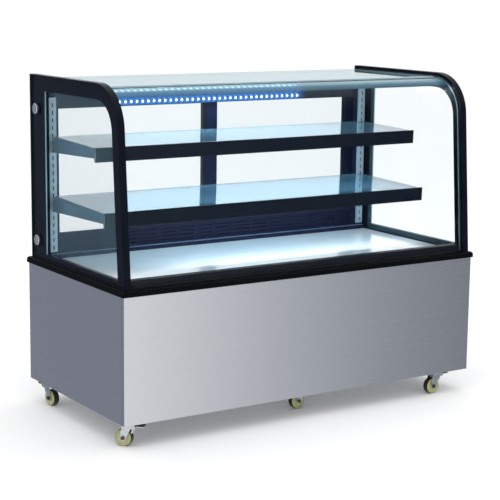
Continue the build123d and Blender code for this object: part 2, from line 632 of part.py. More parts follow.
def caster_fork():
    """Pressed fork with its wheel axle bolt, and ears for the brake pedal."""
    crown = rod_z(22.0, 0, 0, FORK_UNDER, FORK_TOP)
    leg_shape = [(-20, FORK_TOP), (24, FORK_TOP), (32.5, 33), (12, 26), (-4, 62), (-20, 67)]
    leg = profile_y(leg_shape, LEG_IN, LEG_OUT)
    leg += rod_y(10.5, TRAIL, LEG_IN, LEG_OUT, AXLE_Z)
    leg += rod_y(5.0, PIVOT_X, LEG_IN, LEG_OUT, PIVOT_Z)
    leg += box(-20, 24, 12, LEG_OUT, FORK_UNDER, FORK_TOP)
    other = mirror(leg, Plane.XZ)
    fork = crown + leg + other
    fork -= rod_z(PIN_R + 0.08, 0, 0, FORK_UNDER - 1, FORK_TOP + 1)
    fork -= rod_y(PIVOT_R + 0.08, PIVOT_X, -20, 20, PIVOT_Z)
    fork -= rod_y(4.0, TRAIL, -20, 20, AXLE_Z)
    axle = rod_y(4.0, TRAIL, -LEG_OUT, LEG_OUT + 3, AXLE_Z)
    nut = extrude(Plane.XZ.offset(LEG_OUT) * RegularPolygon(7.0, 6), 5.0)
    head = extrude(Plane.XZ.offset(-LEG_OUT) * RegularPolygon(7.0, 6), -4.5)
    place = Pos(TRAIL, 0, AXLE_Z)
    return group(fork, fused(axle, place * nut, place * head))


def caster_wheel():
    """Solid wheel with a crowned tread, dished faces and a raised hub."""
    half = WHEEL_W / 2
    shape = [
        (4.06, half),
        (9, half),
        (10, half - 2.5),
        (24, half - 2.5),
        (25, half - 0.5),
        (WHEEL_R - 2.0, half - 0.5),
        (WHEEL_R, half - 3),
    ]
    lower = [(r, -w) for r, w in reversed(shape)]
    face = make_face(Polyline(*[(r, w, 0) for r, w in shape + lower], close=True))
    wheel = revolve(face, Axis.Y)
    return Pos(TRAIL, 0, AXLE_Z) * wheel


def brake_pedal():
    """Pedal on a cross pin: foot plate with a plastic pad, and a shoe that bears on the tread."""
    arm = box(PEDAL_END + 2, PIVOT_X, -PEDAL_HALF, PEDAL_HALF, PIVOT_Z, PIVOT_Z + 3)
    boss = rod_y(4.0, PIVOT_X, -12.5, 12.5, PIVOT_Z)
    pin = rod_y(PIVOT_R, PIVOT_X, -LEG_OUT + 0.1, LEG_OUT - 0.1, PIVOT_Z)
    shoe = profile_y([(PIVOT_X - 3, PIVOT_Z), (PIVOT_X + 3, PIVOT_Z), (-3.6, 48.0), (-8.0, 46.0)], -9, 9)
    pad = box(PEDAL_END, PIVOT_X - 8, -PEDAL_HALF - 0.5, PEDAL_HALF + 0.5, PIVOT_Z + 3, PIVOT_Z + 8)
    pad = fillet(pad.edges().filter_by(Axis.Z).group_by(Axis.X)[0], 6.0)
    return group(fused(arm, boss, pin, shoe), pad)


# ---------------------------------------------------------------- refrigeration
def return_bend():
    """Half ring of pipe standing out along +X, joining two tubes one above the other."""
    return (Rot(90, 0, 0) * Torus(12, 4)) & box(0, 20, -5, 5, -20, 20)


def condenser_coil():
    """Fin block with end plates and return bends."""
    coil = box(COIL_X0, COIL_X1, COIL_Y0, COIL_Y1, COIL_Z0, COIL_Z1)
    for x in (COIL_X0 - 2, COIL_X1):
        coil += box(x, x + 2, COIL_Y0 - 4, COIL_Y1 + 4, CHASSIS_Z + FLOOR_SHEET, COIL_Z1 + 4)
    for y in (COIL_Y0 + 12, COIL_Y1 - 12):
        for i in range(5):
            coil += Pos(COIL_X1 + 1.5, y, COIL_Z0 + 30 + i * 46) * return_bend()
    return coil


def condenser_shroud():
    """Sheet hood in front of the coil, with the fan's ring, its motor and the arms that hold it."""
    hood = box(COIL_X0, COIL_X1, 240, COIL_Y0 - 5, COIL_Z0, COIL_Z1)
    hood -= box(COIL_X0 + 2, COIL_X1 - 2, 242, COIL_Y0, COIL_Z0 + 2, COIL_Z1 - 2)
    hood -= rod_y(FAN_R + 5, FAN_X, 230, 260, FAN_Z)
    ring = rod_y(FAN_R + 7, FAN_X, 222, 242, FAN_Z) - rod_y(FAN_R + 4, FAN_X, 221, 243, FAN_Z)
    motor = rod_y(34, FAN_X, 170, 216, FAN_Z)
    spigot = rod_y(4, FAN_X, 216, 246, FAN_Z)
    arm = box(20, FAN_R + 7, 206, 212, -5, 5) + box(FAN_R + 3, FAN_R + 7, 206, 224, -5, 5)
    arms = [Pos(FAN_X, 0, FAN_Z) * Rot(0, angle, 0) * arm for angle in (90, 210, 330)]
    return fused(hood, ring, motor, spigot, *arms)


def condenser_fan():
    """Five pitched blades on a hub that runs on the motor's spigot."""
    hub = rod_y(20, FAN_X, FAN_Y0, FAN_Y1, FAN_Z) - rod_y(4.08, FAN_X, FAN_Y0 - 1, FAN_Y1 + 1, FAN_Z)
    blade = Pos(0, (FAN_Y0 + FAN_Y1) / 2, 0) * Rot(28, 0, 0) * box(15, FAN_R - 6, -1.2, 1.2, -22, 22)
    blades = [Pos(FAN_X, 0, FAN_Z) * Rot(0, 72 * i, 0) * blade for i in range(5)]
    return fused(hub, *[b - rod_y(6, FAN_X, 200, 280, FAN_Z) for b in blades])


def compressor():
    """Hermetic shell on a footed base, with its terminal box."""
    x, y = COMPRESSOR_X, COMPRESSOR_Y
    base_z = CHASSIS_Z + FLOOR_SHEET
    feet = [rod_z(11, x + dx, y + dy, base_z, base_z + 20) for dx in (-75, 75) for dy in (-55, 55)]
    base = box(x - 90, x + 90, y - 70, y + 70, base_z + 18, base_z + 22)
    shell = rod_z(70, x, y, base_z + 20, base_z + COMPRESSOR_TALL)
    shell = fillet(shell.edges().filter_by(GeomType.CIRCLE).sort_by(Axis.Z)[-1], 38)
    terminals = box(x - 100, x - 60, y - 35, y + 35, base_z + 60, base_z + 120)
    return fused(base, shell, terminals, *feet)


def evaporator_coil():
    """Fin block in the well, between end plates, with return bends at one end."""
    coil = box(-EVAP_HALF, EVAP_HALF, -40, 60, TUB_FLOOR + 8, TUB_FLOOR + 88)
    for x in (-EVAP_HALF - 2, EVAP_HALF):
        coil += box(x, x + 2, -44, 64, TUB_FLOOR, TUB_FLOOR + 91)
    for y in (-20, 10, 40):
        for z in (TUB_FLOOR + 26, TUB_FLOOR + 66):
            coil += Pos(EVAP_HALF + 1.5, y, z) * return_bend()
    return coil


def blower_housing():
    """Cross-flow blower housing: floor plate, curved back and bearing ends."""
    y, z = BLOWER_Y, BLOWER_Z
    floor = box(-BLOWER_HALF - 12, BLOWER_HALF + 12, y - 60, y + 60, TUB_FLOOR, TUB_FLOOR + 2)
    end = box(BLOWER_HALF + 8, BLOWER_HALF + 12, y - 45, y + 45, TUB_FLOOR, z + 44)
    end -= rod_x(4.06, BLOWER_HALF, BLOWER_HALF + 20, y, z)
    length = 2 * BLOWER_HALF + 18
    back = Pos(0, y, z) * Rot(0, 90, 0) * (Cylinder(42, length) - Cylinder(40, length + 12))
    back &= box(-BLOWER_HALF - 9, BLOWER_HALF + 9, y - 60, y, z - 60, z + 60)
    return fused(floor, end, mirrored(end), back)


def blower_rotor():
    """Drum of blades between discs, on a shaft in the housing's ends."""
    y, z = BLOWER_Y, BLOWER_Z
    discs = [rod_x(BLOWER_R, x - 1.5, x + 1.5, y, z) for x in (-BLOWER_HALF, -100, 100, BLOWER_HALF)]
    shaft = rod_x(4.0, -BLOWER_HALF - 11.5, BLOWER_HALF + 11.5, y, z)
    blade = box(-BLOWER_HALF, BLOWER_HALF, -0.8, 0.8, BLOWER_R - 9, BLOWER_R - 0.5)
    blades = [Pos(0, y, z) * Rot(i * 18, 0, 0) * blade for i in range(20)]
    return fused(shaft, *discs, *blades)


def drain_tray():
    """Evaporation tray under the well's drain."""
    x, y, z = DRAIN_X, DRAIN_Y, CHASSIS_Z + FLOOR_SHEET
    tray = box(x - 110, x + 110, y - 90, y + 90, z, z + 38)
    return tray - box(x - 108, x + 108, y - 88, y + 88, z + 1.5, z + 40)


def refrigerant_pipes():
    """Discharge, suction and liquid lines."""
    shell_top = CHASSIS_Z + FLOOR_SHEET + COMPRESSOR_TALL
    level = shell_top + 40
    coil_end, evap_end = COIL_X1 + 2.5, EVAP_HALF + 16
    out_x, in_x = COMPRESSOR_X - 30, COMPRESSOR_X + 25
    hot = [
        (out_x, COMPRESSOR_Y + 20, shell_top),
        (out_x, COMPRESSOR_Y + 20, level),
        (COIL_X1 + 20, COMPRESSOR_Y + 20, level),
        (COIL_X1 + 20, 300, level),
        (coil_end, 300, level),
    ]
    cold = [
        (in_x, COMPRESSOR_Y, shell_top),
        (in_x, COMPRESSOR_Y, level),
        (in_x, PIPE_Y, level),
        (PIPE_X, PIPE_Y, level),
        (PIPE_X, PIPE_Y, TUB_FLOOR + 40),
        (evap_end, PIPE_Y, TUB_FLOOR + 40),
    ]
    beside = PIPE_X + 8
    liquid = [
        (coil_end, 290, 130),
        (COIL_X1 + 40, 290, 130),
        (COIL_X1 + 40, 40, 130),
        (COIL_X1 + 40, 40, TUB_BOTTOM - 30),
        (beside, PIPE_Y - 8, TUB_BOTTOM - 30),
        (beside, PIPE_Y - 8, TUB_FLOOR + 60),
        (evap_end, PIPE_Y - 8, TUB_FLOOR + 60),
    ]
    discharge = tube_path(hot, [14, 30, 8], 3.0)
    suction = tube_path(cold, [16, 12, 10, 18], 4.5)
    return group(discharge, suction, tube_path(liquid, [16, 30, 30, 8, 12], 2.0))


# ---------------------------------------------------------------- controls
def thermostat():
    """Panel-mounted controller: bezel, recessed display window and case."""
    x, z = THERMOSTAT_X, CONTROL_Z
    case = box(x - 35, x + 35, PANEL_Y - 55, PANEL_Y, z - 14, z + 14)
    bezel = box(x - 39, x + 39, PANEL_Y, PANEL_Y + 5.5, z - 18, z + 18)
    bezel = fillet(bezel.edges().filter_by(Axis.Y), 3.0)
    window = box(x - 16, x + 30, PANEL_Y + 4.5, PANEL_Y + 8, z - 10, z + 12)
    return case + bezel - window


def switch_bezels():
    """Snap-in switch housings with a pocket for each rocker."""
    made = []
    for x in SWITCHES_X.values():
        flange = box(x - 11, x + 11, PANEL_Y, PANEL_Y + 2, CONTROL_Z - 15, CONTROL_Z + 15)
        flange = fillet(flange.edges().filter_by(Axis.Y), 2.0)
        case = box(x - 9.2, x + 9.2, PANEL_Y - 24, PANEL_Y, CONTROL_Z - 12.7, CONTROL_Z + 12.7)
        pocket = box(x - 6.6, x + 6.6, PANEL_Y - 16, PANEL_Y + 3, CONTROL_Z - 11.4, CONTROL_Z + 11.4)
        pins = rod_x(1.5, x - 7, x + 7, ROCKER_PIVOT_Y, CONTROL_Z)
        made.append(fused(flange, case) - pocket + pins)
    return group(*made)


def rocker(switch):
    """Rocker on the housing's cross pin, resting with its lower half in."""
    x = SWITCHES_X[switch]
    half = ROCKER_HALF_Z
    shape = [(-6, -6), (-6, 6), (8, half), (8, 1.5), (6.6, 0), (8, -1.5), (8, -half)]
    body = profile_x(shape, -ROCKER_HALF_X, ROCKER_HALF_X) - rod_x(1.56, -8, 8, 0, 0)
    return Pos(x, ROCKER_PIVOT_Y, CONTROL_Z) * Rot(ROCKER_TILT, 0, 0) * body


# ---------------------------------------------------------------- assembly
right_frame, right_panes, right_panel = side_frame(), side_panes(), right_side_panel()

nodes["chassis_frame"] = chassis_frame()
nodes["front_panel"] = front_panel()
nodes["right_side_panel"] = right_panel
nodes["left_side_panel"] = mirrored(right_panel)
nodes["rear_louvre_panel"] = rear_louvre_panel()
nodes["cable_gland"] = cable_gland()
nodes["deck_trim"] = deck_trim()
nodes["insulated_tub"] = insulated_tub()
nodes["deck_pan"] = deck_pan()
nodes["rear_duct"] = rear_duct()
nodes["right_glazing_frame"] = right_frame
nodes["left_glazing_frame"] = mirrored(right_frame)
nodes["right_side_glass"] = right_panes
nodes["left_side_glass"] = mirrored(right_panes)
nodes["glass_bolts"] = glass_bolts()
nodes["front_glass"] = front_glass()
nodes["front_glass_rail"] = front_glass_rail()
nodes["roof_glass"] = roof_glass()
nodes["rear_posts"] = rear_posts()
nodes["rear_header"] = rear_header()
nodes["rear_sill"] = rear_sill()
for door in DOOR_TRACKS:
    nodes[f"{door}_door_frame"] = door_frame(door)
    nodes[f"{door}_door_glass"] = door_glass(door)
for shelf in SHELF_FRONTS:
    nodes[f"{shelf}_shelf_glass"] = shelf_glass(shelf)
    nodes[f"{shelf}_shelf_rail"] = shelf_rail(shelf)
nodes["shelf_brackets"] = shelf_brackets()
nodes["shelf_standards"] = shelf_standards()
nodes["led_strips"] = led_strips()
nodes["caster_plates"] = group(*[Pos(x, y, 0) * caster_plate() for x, y, _ in CASTERS.values()])
for name in CASTERS:
    nodes[f"{name}_caster_fork"] = caster_place(name, caster_fork())
    nodes[f"{name}_caster_wheel"] = caster_place(name, caster_wheel())
for name in BRAKED:
    nodes[f"{name}_brake_pedal"] = caster_place(name, brake_pedal())
nodes["condenser_coil"] = condenser_coil()
nodes["condenser_shroud"] = condenser_shroud()
nodes["condenser_fan"] = condenser_fan()
nodes["compressor"] = compressor()
nodes["evaporator_coil"] = evaporator_coil()
nodes["blower_housing"] = blower_housing()
nodes["blower_rotor"] = blower_rotor()
nodes["drain_tray"] = drain_tray()
nodes["refrigerant_pipes"] = refrigerant_pipes()
nodes["thermostat"] = thermostat()
nodes["switch_bezels"] = switch_bezels()
for switch in SWITCHES_X:
    nodes[f"{switch}_rocker"] = rocker(switch)

os.makedirs("parts", exist_ok=True)
for name, shape in nodes.items():
    export_step(shape, f"parts/{name}.step")
print(len(nodes), "nodes written")
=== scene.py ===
import json
import math

import bmesh
import bpy
from mathutils import Matrix, Vector


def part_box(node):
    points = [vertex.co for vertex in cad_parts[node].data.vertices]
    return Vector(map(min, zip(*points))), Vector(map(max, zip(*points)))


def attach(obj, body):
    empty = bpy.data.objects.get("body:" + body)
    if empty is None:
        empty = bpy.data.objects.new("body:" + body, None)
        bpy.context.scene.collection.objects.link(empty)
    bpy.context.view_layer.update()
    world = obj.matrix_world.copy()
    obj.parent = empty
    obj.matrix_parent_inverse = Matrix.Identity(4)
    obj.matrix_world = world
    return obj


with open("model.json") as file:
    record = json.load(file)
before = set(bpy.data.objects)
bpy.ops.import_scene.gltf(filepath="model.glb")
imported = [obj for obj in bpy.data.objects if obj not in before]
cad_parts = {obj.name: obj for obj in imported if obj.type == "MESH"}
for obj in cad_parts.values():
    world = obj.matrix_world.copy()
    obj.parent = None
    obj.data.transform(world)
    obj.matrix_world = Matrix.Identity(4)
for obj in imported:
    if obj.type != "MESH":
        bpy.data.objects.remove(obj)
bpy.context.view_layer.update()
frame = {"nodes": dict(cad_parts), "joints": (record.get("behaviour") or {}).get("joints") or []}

NODES = frame["nodes"]
CABINET = "cabinet"


# ------------------------------------------------------------------ node helpers
def set_stops(ramp, stops):
    """Fills a colour ramp node from (position, colour) stops."""
    elements = ramp.color_ramp.elements
    while len(elements) < len(stops):
        elements.new(0.5)
    for element, (at, colour) in zip(elements, stops):
        element.position = at
        element.color = (*colour, 1.0)


class Nodes:
    """Short hands for building one material's node tree."""

    def __init__(self, name):
        self.material = bpy.data.materials.new(name)
        self.material.use_nodes = True
        self.tree = self.material.node_tree
        self.tree.nodes.clear()
        self.out = self.add("ShaderNodeOutputMaterial")

    def add(self, kind, **settings):
        node = self.tree.nodes.new(kind)
        for key, value in settings.items():
            setattr(node, key, value)
        return node

    def link(self, a, b):
        self.tree.links.new(a, b)

    def put(self, socket, value):
        if isinstance(value, bpy.types.NodeSocket):
            self.link(value, socket)
        else:
            socket.default_value = value

    def place(self, stretch=(1, 1, 1)):
        """Object coordinates, stretched."""
        coord = self.add("ShaderNodeTexCoord")
        mapping = self.add("ShaderNodeMapping")
        self.link(coord.outputs["Object"], mapping.inputs["Vector"])
        mapping.inputs["Scale"].default_value = stretch
        return mapping.outputs["Vector"]

    def noise(self, scale, detail=3.0, stretch=(1, 1, 1), rough=0.55):
        node = self.add("ShaderNodeTexNoise")
        self.link(self.place(stretch), node.inputs["Vector"])
        node.inputs["Scale"].default_value = scale
        node.inputs["Detail"].default_value = detail
        node.inputs["Roughness"].default_value = rough
        return node.outputs["Fac"]

    def between(self, value, low, high, source=(0.3, 0.7)):
        """Maps a factor's usual span to low..high."""
        node = self.add("ShaderNodeMapRange")
        self.put(node.inputs["Value"], value)
        node.inputs["From Min"].default_value = source[0]
        node.inputs["From Max"].default_value = source[1]
        node.inputs["To Min"].default_value = low
        node.inputs["To Max"].default_value = high
        return node.outputs["Result"]

    def math(self, operation, a, b=0.0):
        node = self.add("ShaderNodeMath", operation=operation)
        self.put(node.inputs[0], a)
        self.put(node.inputs[1], b)
        return node.outputs[0]

    def ramp(self, value, *stops):
        """Colour ramp from (position, colour) stops."""
        node = self.add("ShaderNodeValToRGB")
        self.put(node.inputs["Fac"], value)
        set_stops(node, stops)
        return node.outputs["Color"]

    def bump(self, height, strength, distance=0.001):
        node = self.add("ShaderNodeBump")
        node.inputs["Strength"].default_value = strength
        node.inputs["Distance"].default_value = distance
        self.put(node.inputs["Height"], height)
        return node.outputs["Normal"]

    def principled(self, colour, roughness, normal=None, **plain):
        node = self.add("ShaderNodeBsdfPrincipled")
        self.put(node.inputs["Base Color"], colour)
        self.put(node.inputs["Roughness"], roughness)
        if normal is not None:
            self.link(normal, node.inputs["Normal"])
        for key, value in plain.items():
            node.inputs[key.replace("_", " ")].default_value = value
        self.link(node.outputs["BSDF"], self.out.inputs["Surface"])
        return node


# ------------------------------------------------------------------ key positions, in metres
TRIM_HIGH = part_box("deck_trim")[1]
UNIT_LOW, UNIT_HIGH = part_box("right_glazing_frame")
FRONT_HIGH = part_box("front_glass")[1]
ROOF_LOW, ROOF_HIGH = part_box("roof_glass")
HEADER_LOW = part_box("rear_header")[0]
PANEL_LOW, PANEL_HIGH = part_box("front_panel")
LEAN = math.radians(4.4)
CURVE = 0.155
FOOT = UNIT_LOW.y
TILT = math.radians(2.0)  # shelves, rear edge up
BAND_FRONT, BAND_TOP, BAND_REAR = 0.052, 0.055, 0.112  # printed band of the side units
INNER_PANE_X = UNIT_HIGH.x - 0.0209  # just outside the faces of the inner panes
RAIL_LIP = 0.007  # depth of the lip on a shelf rail
RAIL_END = ((0.0023, 0.005), (0.0138, 0.005), (0.0138, 0.0105), (0.0075, 0.0497), (0.0023, 0.0497))
KICK_LIP_Z, KICK_LIP_REAR = (0.5585, 0.5605), 0.275  # brighter bluish top edge of the kick strip
WASHER_THICK = 0.003
TREAD_RADIUS, AXLE_RADIUS, PEDAL_PAD = 0.0255, 0.0075, 0.0051
FRONT_SEAL_INSET, FRONT_SEAL_RADIUS = 0.0125, 0.0026
ROOF_SEAL_HALF, FOOT_SEAL_HALF = 0.709, 0.711
SPACER_X, SPACER_Y = (0.7288, 0.7328), (0.2355, 0.2379)
BORDER_INSET, BORDER_THICK, BORDER_BOTTOM = 0.0223, 0.0005, 1.160
BORDER_STOP, BORDER_HALF = math.radians(88.5), 0.7095
SCREW_MARGIN_X, SCREW_MARGIN_Z = 0.011, 0.02
GASKET_INSET, GASKET_WIDTH, GASKET_THICK, GASKET_ROUND = 0.009, 0.0035, 0.0016, 0.0004
WINDOW_LOW, WINDOW_HIGH = (-0.0158, -0.0098), (0.0298, 0.0118)  # from the thermostat's middle
LED_PITCH = 0.024
HEADER_LEDS = (-0.406, 0.386, 1.097)  # first, last, height
# painted reflections of the LED row on the curved band: first, last, height
BORDER_PAINTED_LED_REFLECTIONS = (-0.705, 0.03, 1.178)
SHELF_LED_FIRST, SHELF_LED_COUNT = -0.66, 56
HEADER_LENS_RADIUS, SHELF_LENS_RADIUS = 0.004, 0.0045
BUTTON = ((0.0026, 0.0), (0.0026, 0.0002), (0.0021, 0.0004), (0.0, 0.0004))  # radius, height
BUTTON_FIRST, BUTTON_STEP = (-0.029, -0.006), (0.0075, 0.01)  # in x and z, from the same middle
SHARP_ANGLE = math.radians(40.0)
WORLD_STRENGTH = 1.15


def front_y(z, inset):
    """y of the display's leaning front at height z, moved back by inset."""
    return FOOT + (z - TRIM_HIGH.z) * math.tan(LEAN) + inset / math.cos(LEAN)


def curve_centre(inset):
    """Radius of the top curve at an inset, the (y, z) of its centre, and where the lean meets it."""
    radius = CURVE - inset
    middle_z = UNIT_HIGH.z - inset - radius
    tangent_z = middle_z + radius * math.sin(LEAN)
    return radius, front_y(tangent_z, inset) + radius * math.cos(LEAN), middle_z, tangent_z


def front_curve(inset, z_start, y_end, steps=24):
    """(y, z) points up the lean, round the top curve and back along the top, at an inset."""
    radius, middle_y, middle_z, tangent_z = curve_centre(inset)
    heights = [z_start + (tangent_z - z_start) * i / 8 for i in range(8)]
    line = [(front_y(z, inset), z) for z in heights]
    arc = []
    for i in range(steps + 1):
        a = math.pi - LEAN - (math.pi / 2 - LEAN) * i / steps
        arc.append((middle_y + radius * math.cos(a), middle_z + radius * math.sin(a)))
    return line + arc + [(y_end, UNIT_HIGH.z - inset)]


def on_shelf(level, back, down):
    """(y, z) of a point on a tilted shelf, measured from its rail's top front edge."""
    low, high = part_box(f"{level}_shelf_rail")
    top = high.z - RAIL_LIP * math.sin(TILT)
    y = low.y + back * math.cos(TILT) + down * math.sin(TILT)
    return y, top + back * math.sin(TILT) - down * math.cos(TILT)


# ------------------------------------------------------------------ materials
def brushed_steel(name, grain, shade=0.58):
    """Brushed stainless: fine streaks along the grain and faint wide banding."""
    n = Nodes(name)
    streak = n.noise(1.0, 4.0, grain, 0.7)
    wide = n.noise(2.2, 2.0, (1.0, 1.0, 0.6))
    tone = n.math("ADD", n.math("MULTIPLY", streak, 0.7), n.math("MULTIPLY", wide, 0.3))
    low, high = shade * 0.965, shade * 1.035
    dark, light = (low * 0.965, low, low * 1.05), (high * 0.97, high, high * 1.045)
    colour = n.ramp(tone, (0.32, dark), (0.68, light))
    sheen = n.math("ADD", n.math("MULTIPLY", streak, 0.6), n.math("MULTIPLY", wide, 0.4))
    rough = n.between(sheen, 0.235, 0.285)
    node = n.principled(colour, rough, n.bump(streak, 0.035, 0.0003), Metallic=1.0, Anisotropic=0.8)
    node.inputs["Anisotropic Rotation"].default_value = 0.25
    tangent = n.add("ShaderNodeTangent", direction_type="RADIAL", axis="Z")
    n.link(tangent.outputs["Tangent"], node.inputs["Tangent"])
    return n.material


def coated(name, dark, light, rough=(0.3, 0.42), grain=900.0, bump=0.25, coat=0.0, metal=0.0, spec=0.5):
    """Powder coat or moulded skin: two close tones, orange-peel bump, uneven sheen."""
    n = Nodes(name)
    cloud, fine = n.noise(14.0, 4.0), n.noise(grain, 2.0)
    tone = n.math("ADD", n.math("MULTIPLY", cloud, 0.6), n.math("MULTIPLY", fine, 0.4))
    settings = {"Metallic": metal, "Coat_Weight": coat, "Coat_Roughness": 0.12, "Specular_IOR_Level": spec}
    colour = n.ramp(tone, (0.35, dark), (0.65, light))
    n.principled(colour, n.between(cloud, *rough), n.bump(fine, bump, 0.0003), **settings)
    return n.material


# painted glow colours: emission ramps that paint the light of the LED dots onto a surface
BLUE_PAINTED_GLOW = (
    (0.0, (0.0, 0.0, 0.0)),
    (0.2, (0.004, 0.03, 0.08)),
    (0.5, (0.012, 0.08, 0.26)),
    (0.75, (0.03, 0.17, 0.5)),
    (0.9, (0.3, 0.65, 1.0)),
    (1.0, (1.0, 1.0, 1.0)),
)
TEAL_PAINTED_GLOW = (
    (0.0, (0.0, 0.0, 0.0)),
    (0.3, (0.008, 0.036, 0.1)),
    (0.5, (0.01, 0.05, 0.13)),
    (0.66, (0.16, 0.34, 0.44)),
    (0.85, (0.6, 0.8, 0.85)),
)


def painted_dot_glow(
    name, tones, dots, reach, strength=1.0, painted_glow_stops=BLUE_PAINTED_GLOW, rough=(0.34, 0.46), spec=0.2, slope=1.0
):
    """Coat with a painted glow from a row of light dots along X at a height: emission painted bright by
    each dot, fading away.

    tones is (dark, light), or (low, high, stops) for colours that change with height, such as a painted
    reflection that lightens towards the top. slope stretches the dots' height, for a surface that leans
    back.
    """
    first, last, height = dots
    n = Nodes(name)
    fine = n.noise(700.0, 2.0)
    axes = n.add("ShaderNodeSeparateXYZ")
    n.link(n.place(), axes.inputs[0])
    x, z = axes.outputs["X"], axes.outputs["Z"]
    turn = n.math("FRACT", n.math("ADD", n.math("DIVIDE", n.math("SUBTRACT", x, first), LED_PITCH), 0.5))
    aside = n.math("MULTIPLY", n.math("SUBTRACT", turn, 0.5), LED_PITCH)
    past_left = n.math("MAXIMUM", n.math("SUBTRACT", first, x), 0.0)
    past_right = n.math("MAXIMUM", n.math("SUBTRACT", x, last), 0.0)
    past = n.math("ADD", past_left, past_right)
    over = n.math("SUBTRACT", z, height)
    along = n.math("MULTIPLY", over, slope)
    near = n.math("ADD", n.math("MULTIPLY", aside, aside), n.math("MULTIPLY", along, along))
    spot = n.math("DIVIDE", 1.0, n.math("ADD", 1.0, n.math("DIVIDE", near, reach * reach)))
    far = n.math("ADD", n.math("MULTIPLY", over, over), n.math("MULTIPLY", past, past))
    wash = n.math("DIVIDE", 1.0, n.math("ADD", 1.0, n.math("DIVIDE", far, 0.0016)))
    gone = n.between(past, 1.0, 0.0, (0.0, 0.05))
    lit = n.math("ADD", n.math("MULTIPLY", spot, 0.55), n.math("MULTIPLY", wash, 0.45))
    amount = n.math("MULTIPLY", lit, gone)
    if len(tones) == 3:
        low, high, stops = tones
        uneven = n.math("ADD", z, n.math("MULTIPLY", n.math("SUBTRACT", fine, 0.5), 0.001))
        colour = n.ramp(n.between(uneven, 0.0, 1.0, (low, high)), *stops)
    else:
        colour = n.ramp(fine, (0.35, tones[0]), (0.65, tones[1]))
    bump = n.bump(fine, 0.15, 0.0003)
    node = n.principled(colour, n.between(fine, *rough), bump, Specular_IOR_Level=spec)
    # the emission is painted light: the dots' glow painted onto the surface, no lamp
    n.link(n.ramp(amount, *painted_glow_stops), node.inputs["Emission Color"])
    node.inputs["Emission Strength"].default_value = strength
    return n.material


def within_band(n):
    """1 inside the clear window of a side unit, 0 over its printed band."""
    axes = n.add("ShaderNodeSeparateXYZ")
    n.link(n.place(), axes.inputs[0])
    y, z = axes.outputs["Y"], axes.outputs["Z"]
    from_front = n.math("SUBTRACT", y, n.math("MULTIPLY", z, math.tan(LEAN)))
    front = n.math("GREATER_THAN", from_front, FOOT + BAND_FRONT - TRIM_HIGH.z * math.tan(LEAN))
    rear = n.math("LESS_THAN", y, UNIT_HIGH.y - BAND_REAR)
    top = n.math("LESS_THAN", z, UNIT_HIGH.z - BAND_TOP)
    return n.math("MULTIPLY", front, n.math("MULTIPLY", rear, top))


def glazing(name, tint, haze=0.0, haze_colour=(0.8, 0.9, 0.92), mirror=(1, 1, 1), ior=1.4, masked=False):
    """Clear glass: passes light with a tint, mirrors by angle, with faint wiping marks in its gloss."""
    n = Nodes(name)
    marks = n.noise(9.0, 3.0, (1.0, 1.0, 0.35))
    clear = n.add("ShaderNodeBsdfTransparent")
    clear.inputs["Color"].default_value = (*tint, 1.0)
    gloss = n.add("ShaderNodeBsdfAnisotropic")
    gloss.inputs["Color"].default_value = (*mirror, 1.0)
    n.link(n.between(marks, 0.004, 0.04), gloss.inputs["Roughness"])
    fresnel = n.add("ShaderNodeFresnel")
    back = n.add("ShaderNodeNewGeometry").outputs["Backfacing"]
    n.link(n.between(back, ior, 1 / ior, (0, 1)), fresnel.inputs["IOR"])
    body = clear.outputs[0]
    if haze:
        dull = n.add("ShaderNodeBsdfDiffuse")
        dull.inputs["Color"].default_value = (*haze_colour, 1.0)
        join = n.add("ShaderNodeMixShader")
        amount = n.between(marks, haze * 0.8, haze * 1.2)
        n.link(n.math("MULTIPLY", amount, within_band(n)) if masked else amount, join.inputs[0])
        n.link(body, join.inputs[1])
        n.link(dull.outputs[0], join.inputs[2])
        body = join.outputs[0]
    mix = n.add("ShaderNodeMixShader")
    n.link(fresnel.outputs[0], mix.inputs[0])
    n.link(body, mix.inputs[1])
    n.link(gloss.outputs[0], mix.inputs[2])
    n.link(mix.outputs[0], n.out.inputs["Surface"])
    return n.material


def glass_edge(name, colour):
    """Ground glass edge: green, slightly frosted, with fine grinding lines."""
    n = Nodes(name)
    lines = n.noise(260.0, 2.0, (0.2, 1.0, 1.0))
    dark = tuple(c * 0.7 for c in colour)
    tone = n.ramp(lines, (0.35, dark), (0.65, colour))
    n.principled(tone, n.between(lines, 0.2, 0.45), n.bump(lines, 0.2, 0.0002), Coat_Weight=0.4)
    return n.material


def bare_metal(name, dark, light, rough, scale):
    """Plated or cast metal with spangle, handling marks and small scratches."""
    n = Nodes(name)
    cloud, fine = n.noise(scale, 4.0), n.noise(scale * 12, 2.0)
    tone = n.math("ADD", n.math("MULTIPLY", cloud, 0.65), n.math("MULTIPLY", fine, 0.35))
    colour = n.ramp(tone, (0.35, dark), (0.65, light))
    n.principled(colour, n.between(cloud, *rough), n.bump(fine, 0.15, 0.0003), Metallic=1.0)
    return n.material


def glow(name, colour, strength):
    """Lit lens, slightly uneven."""
    n = Nodes(name)
    band = n.noise(40.0, 2.0)
    shade = n.add("ShaderNodeEmission")
    n.link(n.ramp(band, (0.3, tuple(c * 0.85 for c in colour)), (0.7, colour)), shade.inputs["Color"])
    shade.inputs["Strength"].default_value = strength
    n.link(shade.outputs[0], n.out.inputs["Surface"])
    return n.material


def finned(name, dark, light, pitch):
    """Heat exchanger face: thin fins as fine light lines, with painted shade as the dark lines between them
    and uneven edges.
    """
    n = Nodes(name)
    wave = n.add("ShaderNodeTexWave", bands_direction="X")
    n.link(n.place(), wave.inputs["Vector"])
    wave.inputs["Scale"].default_value = 1.0 / pitch / 6.283
    wave.inputs["Distortion"].default_value = 0.6
    fins = wave.outputs["Fac"]
    n.principled(n.ramp(fins, (0.2, dark), (0.8, light)), 0.45, n.bump(fins, 0.8, 0.002), Metallic=0.8)
    return n.material


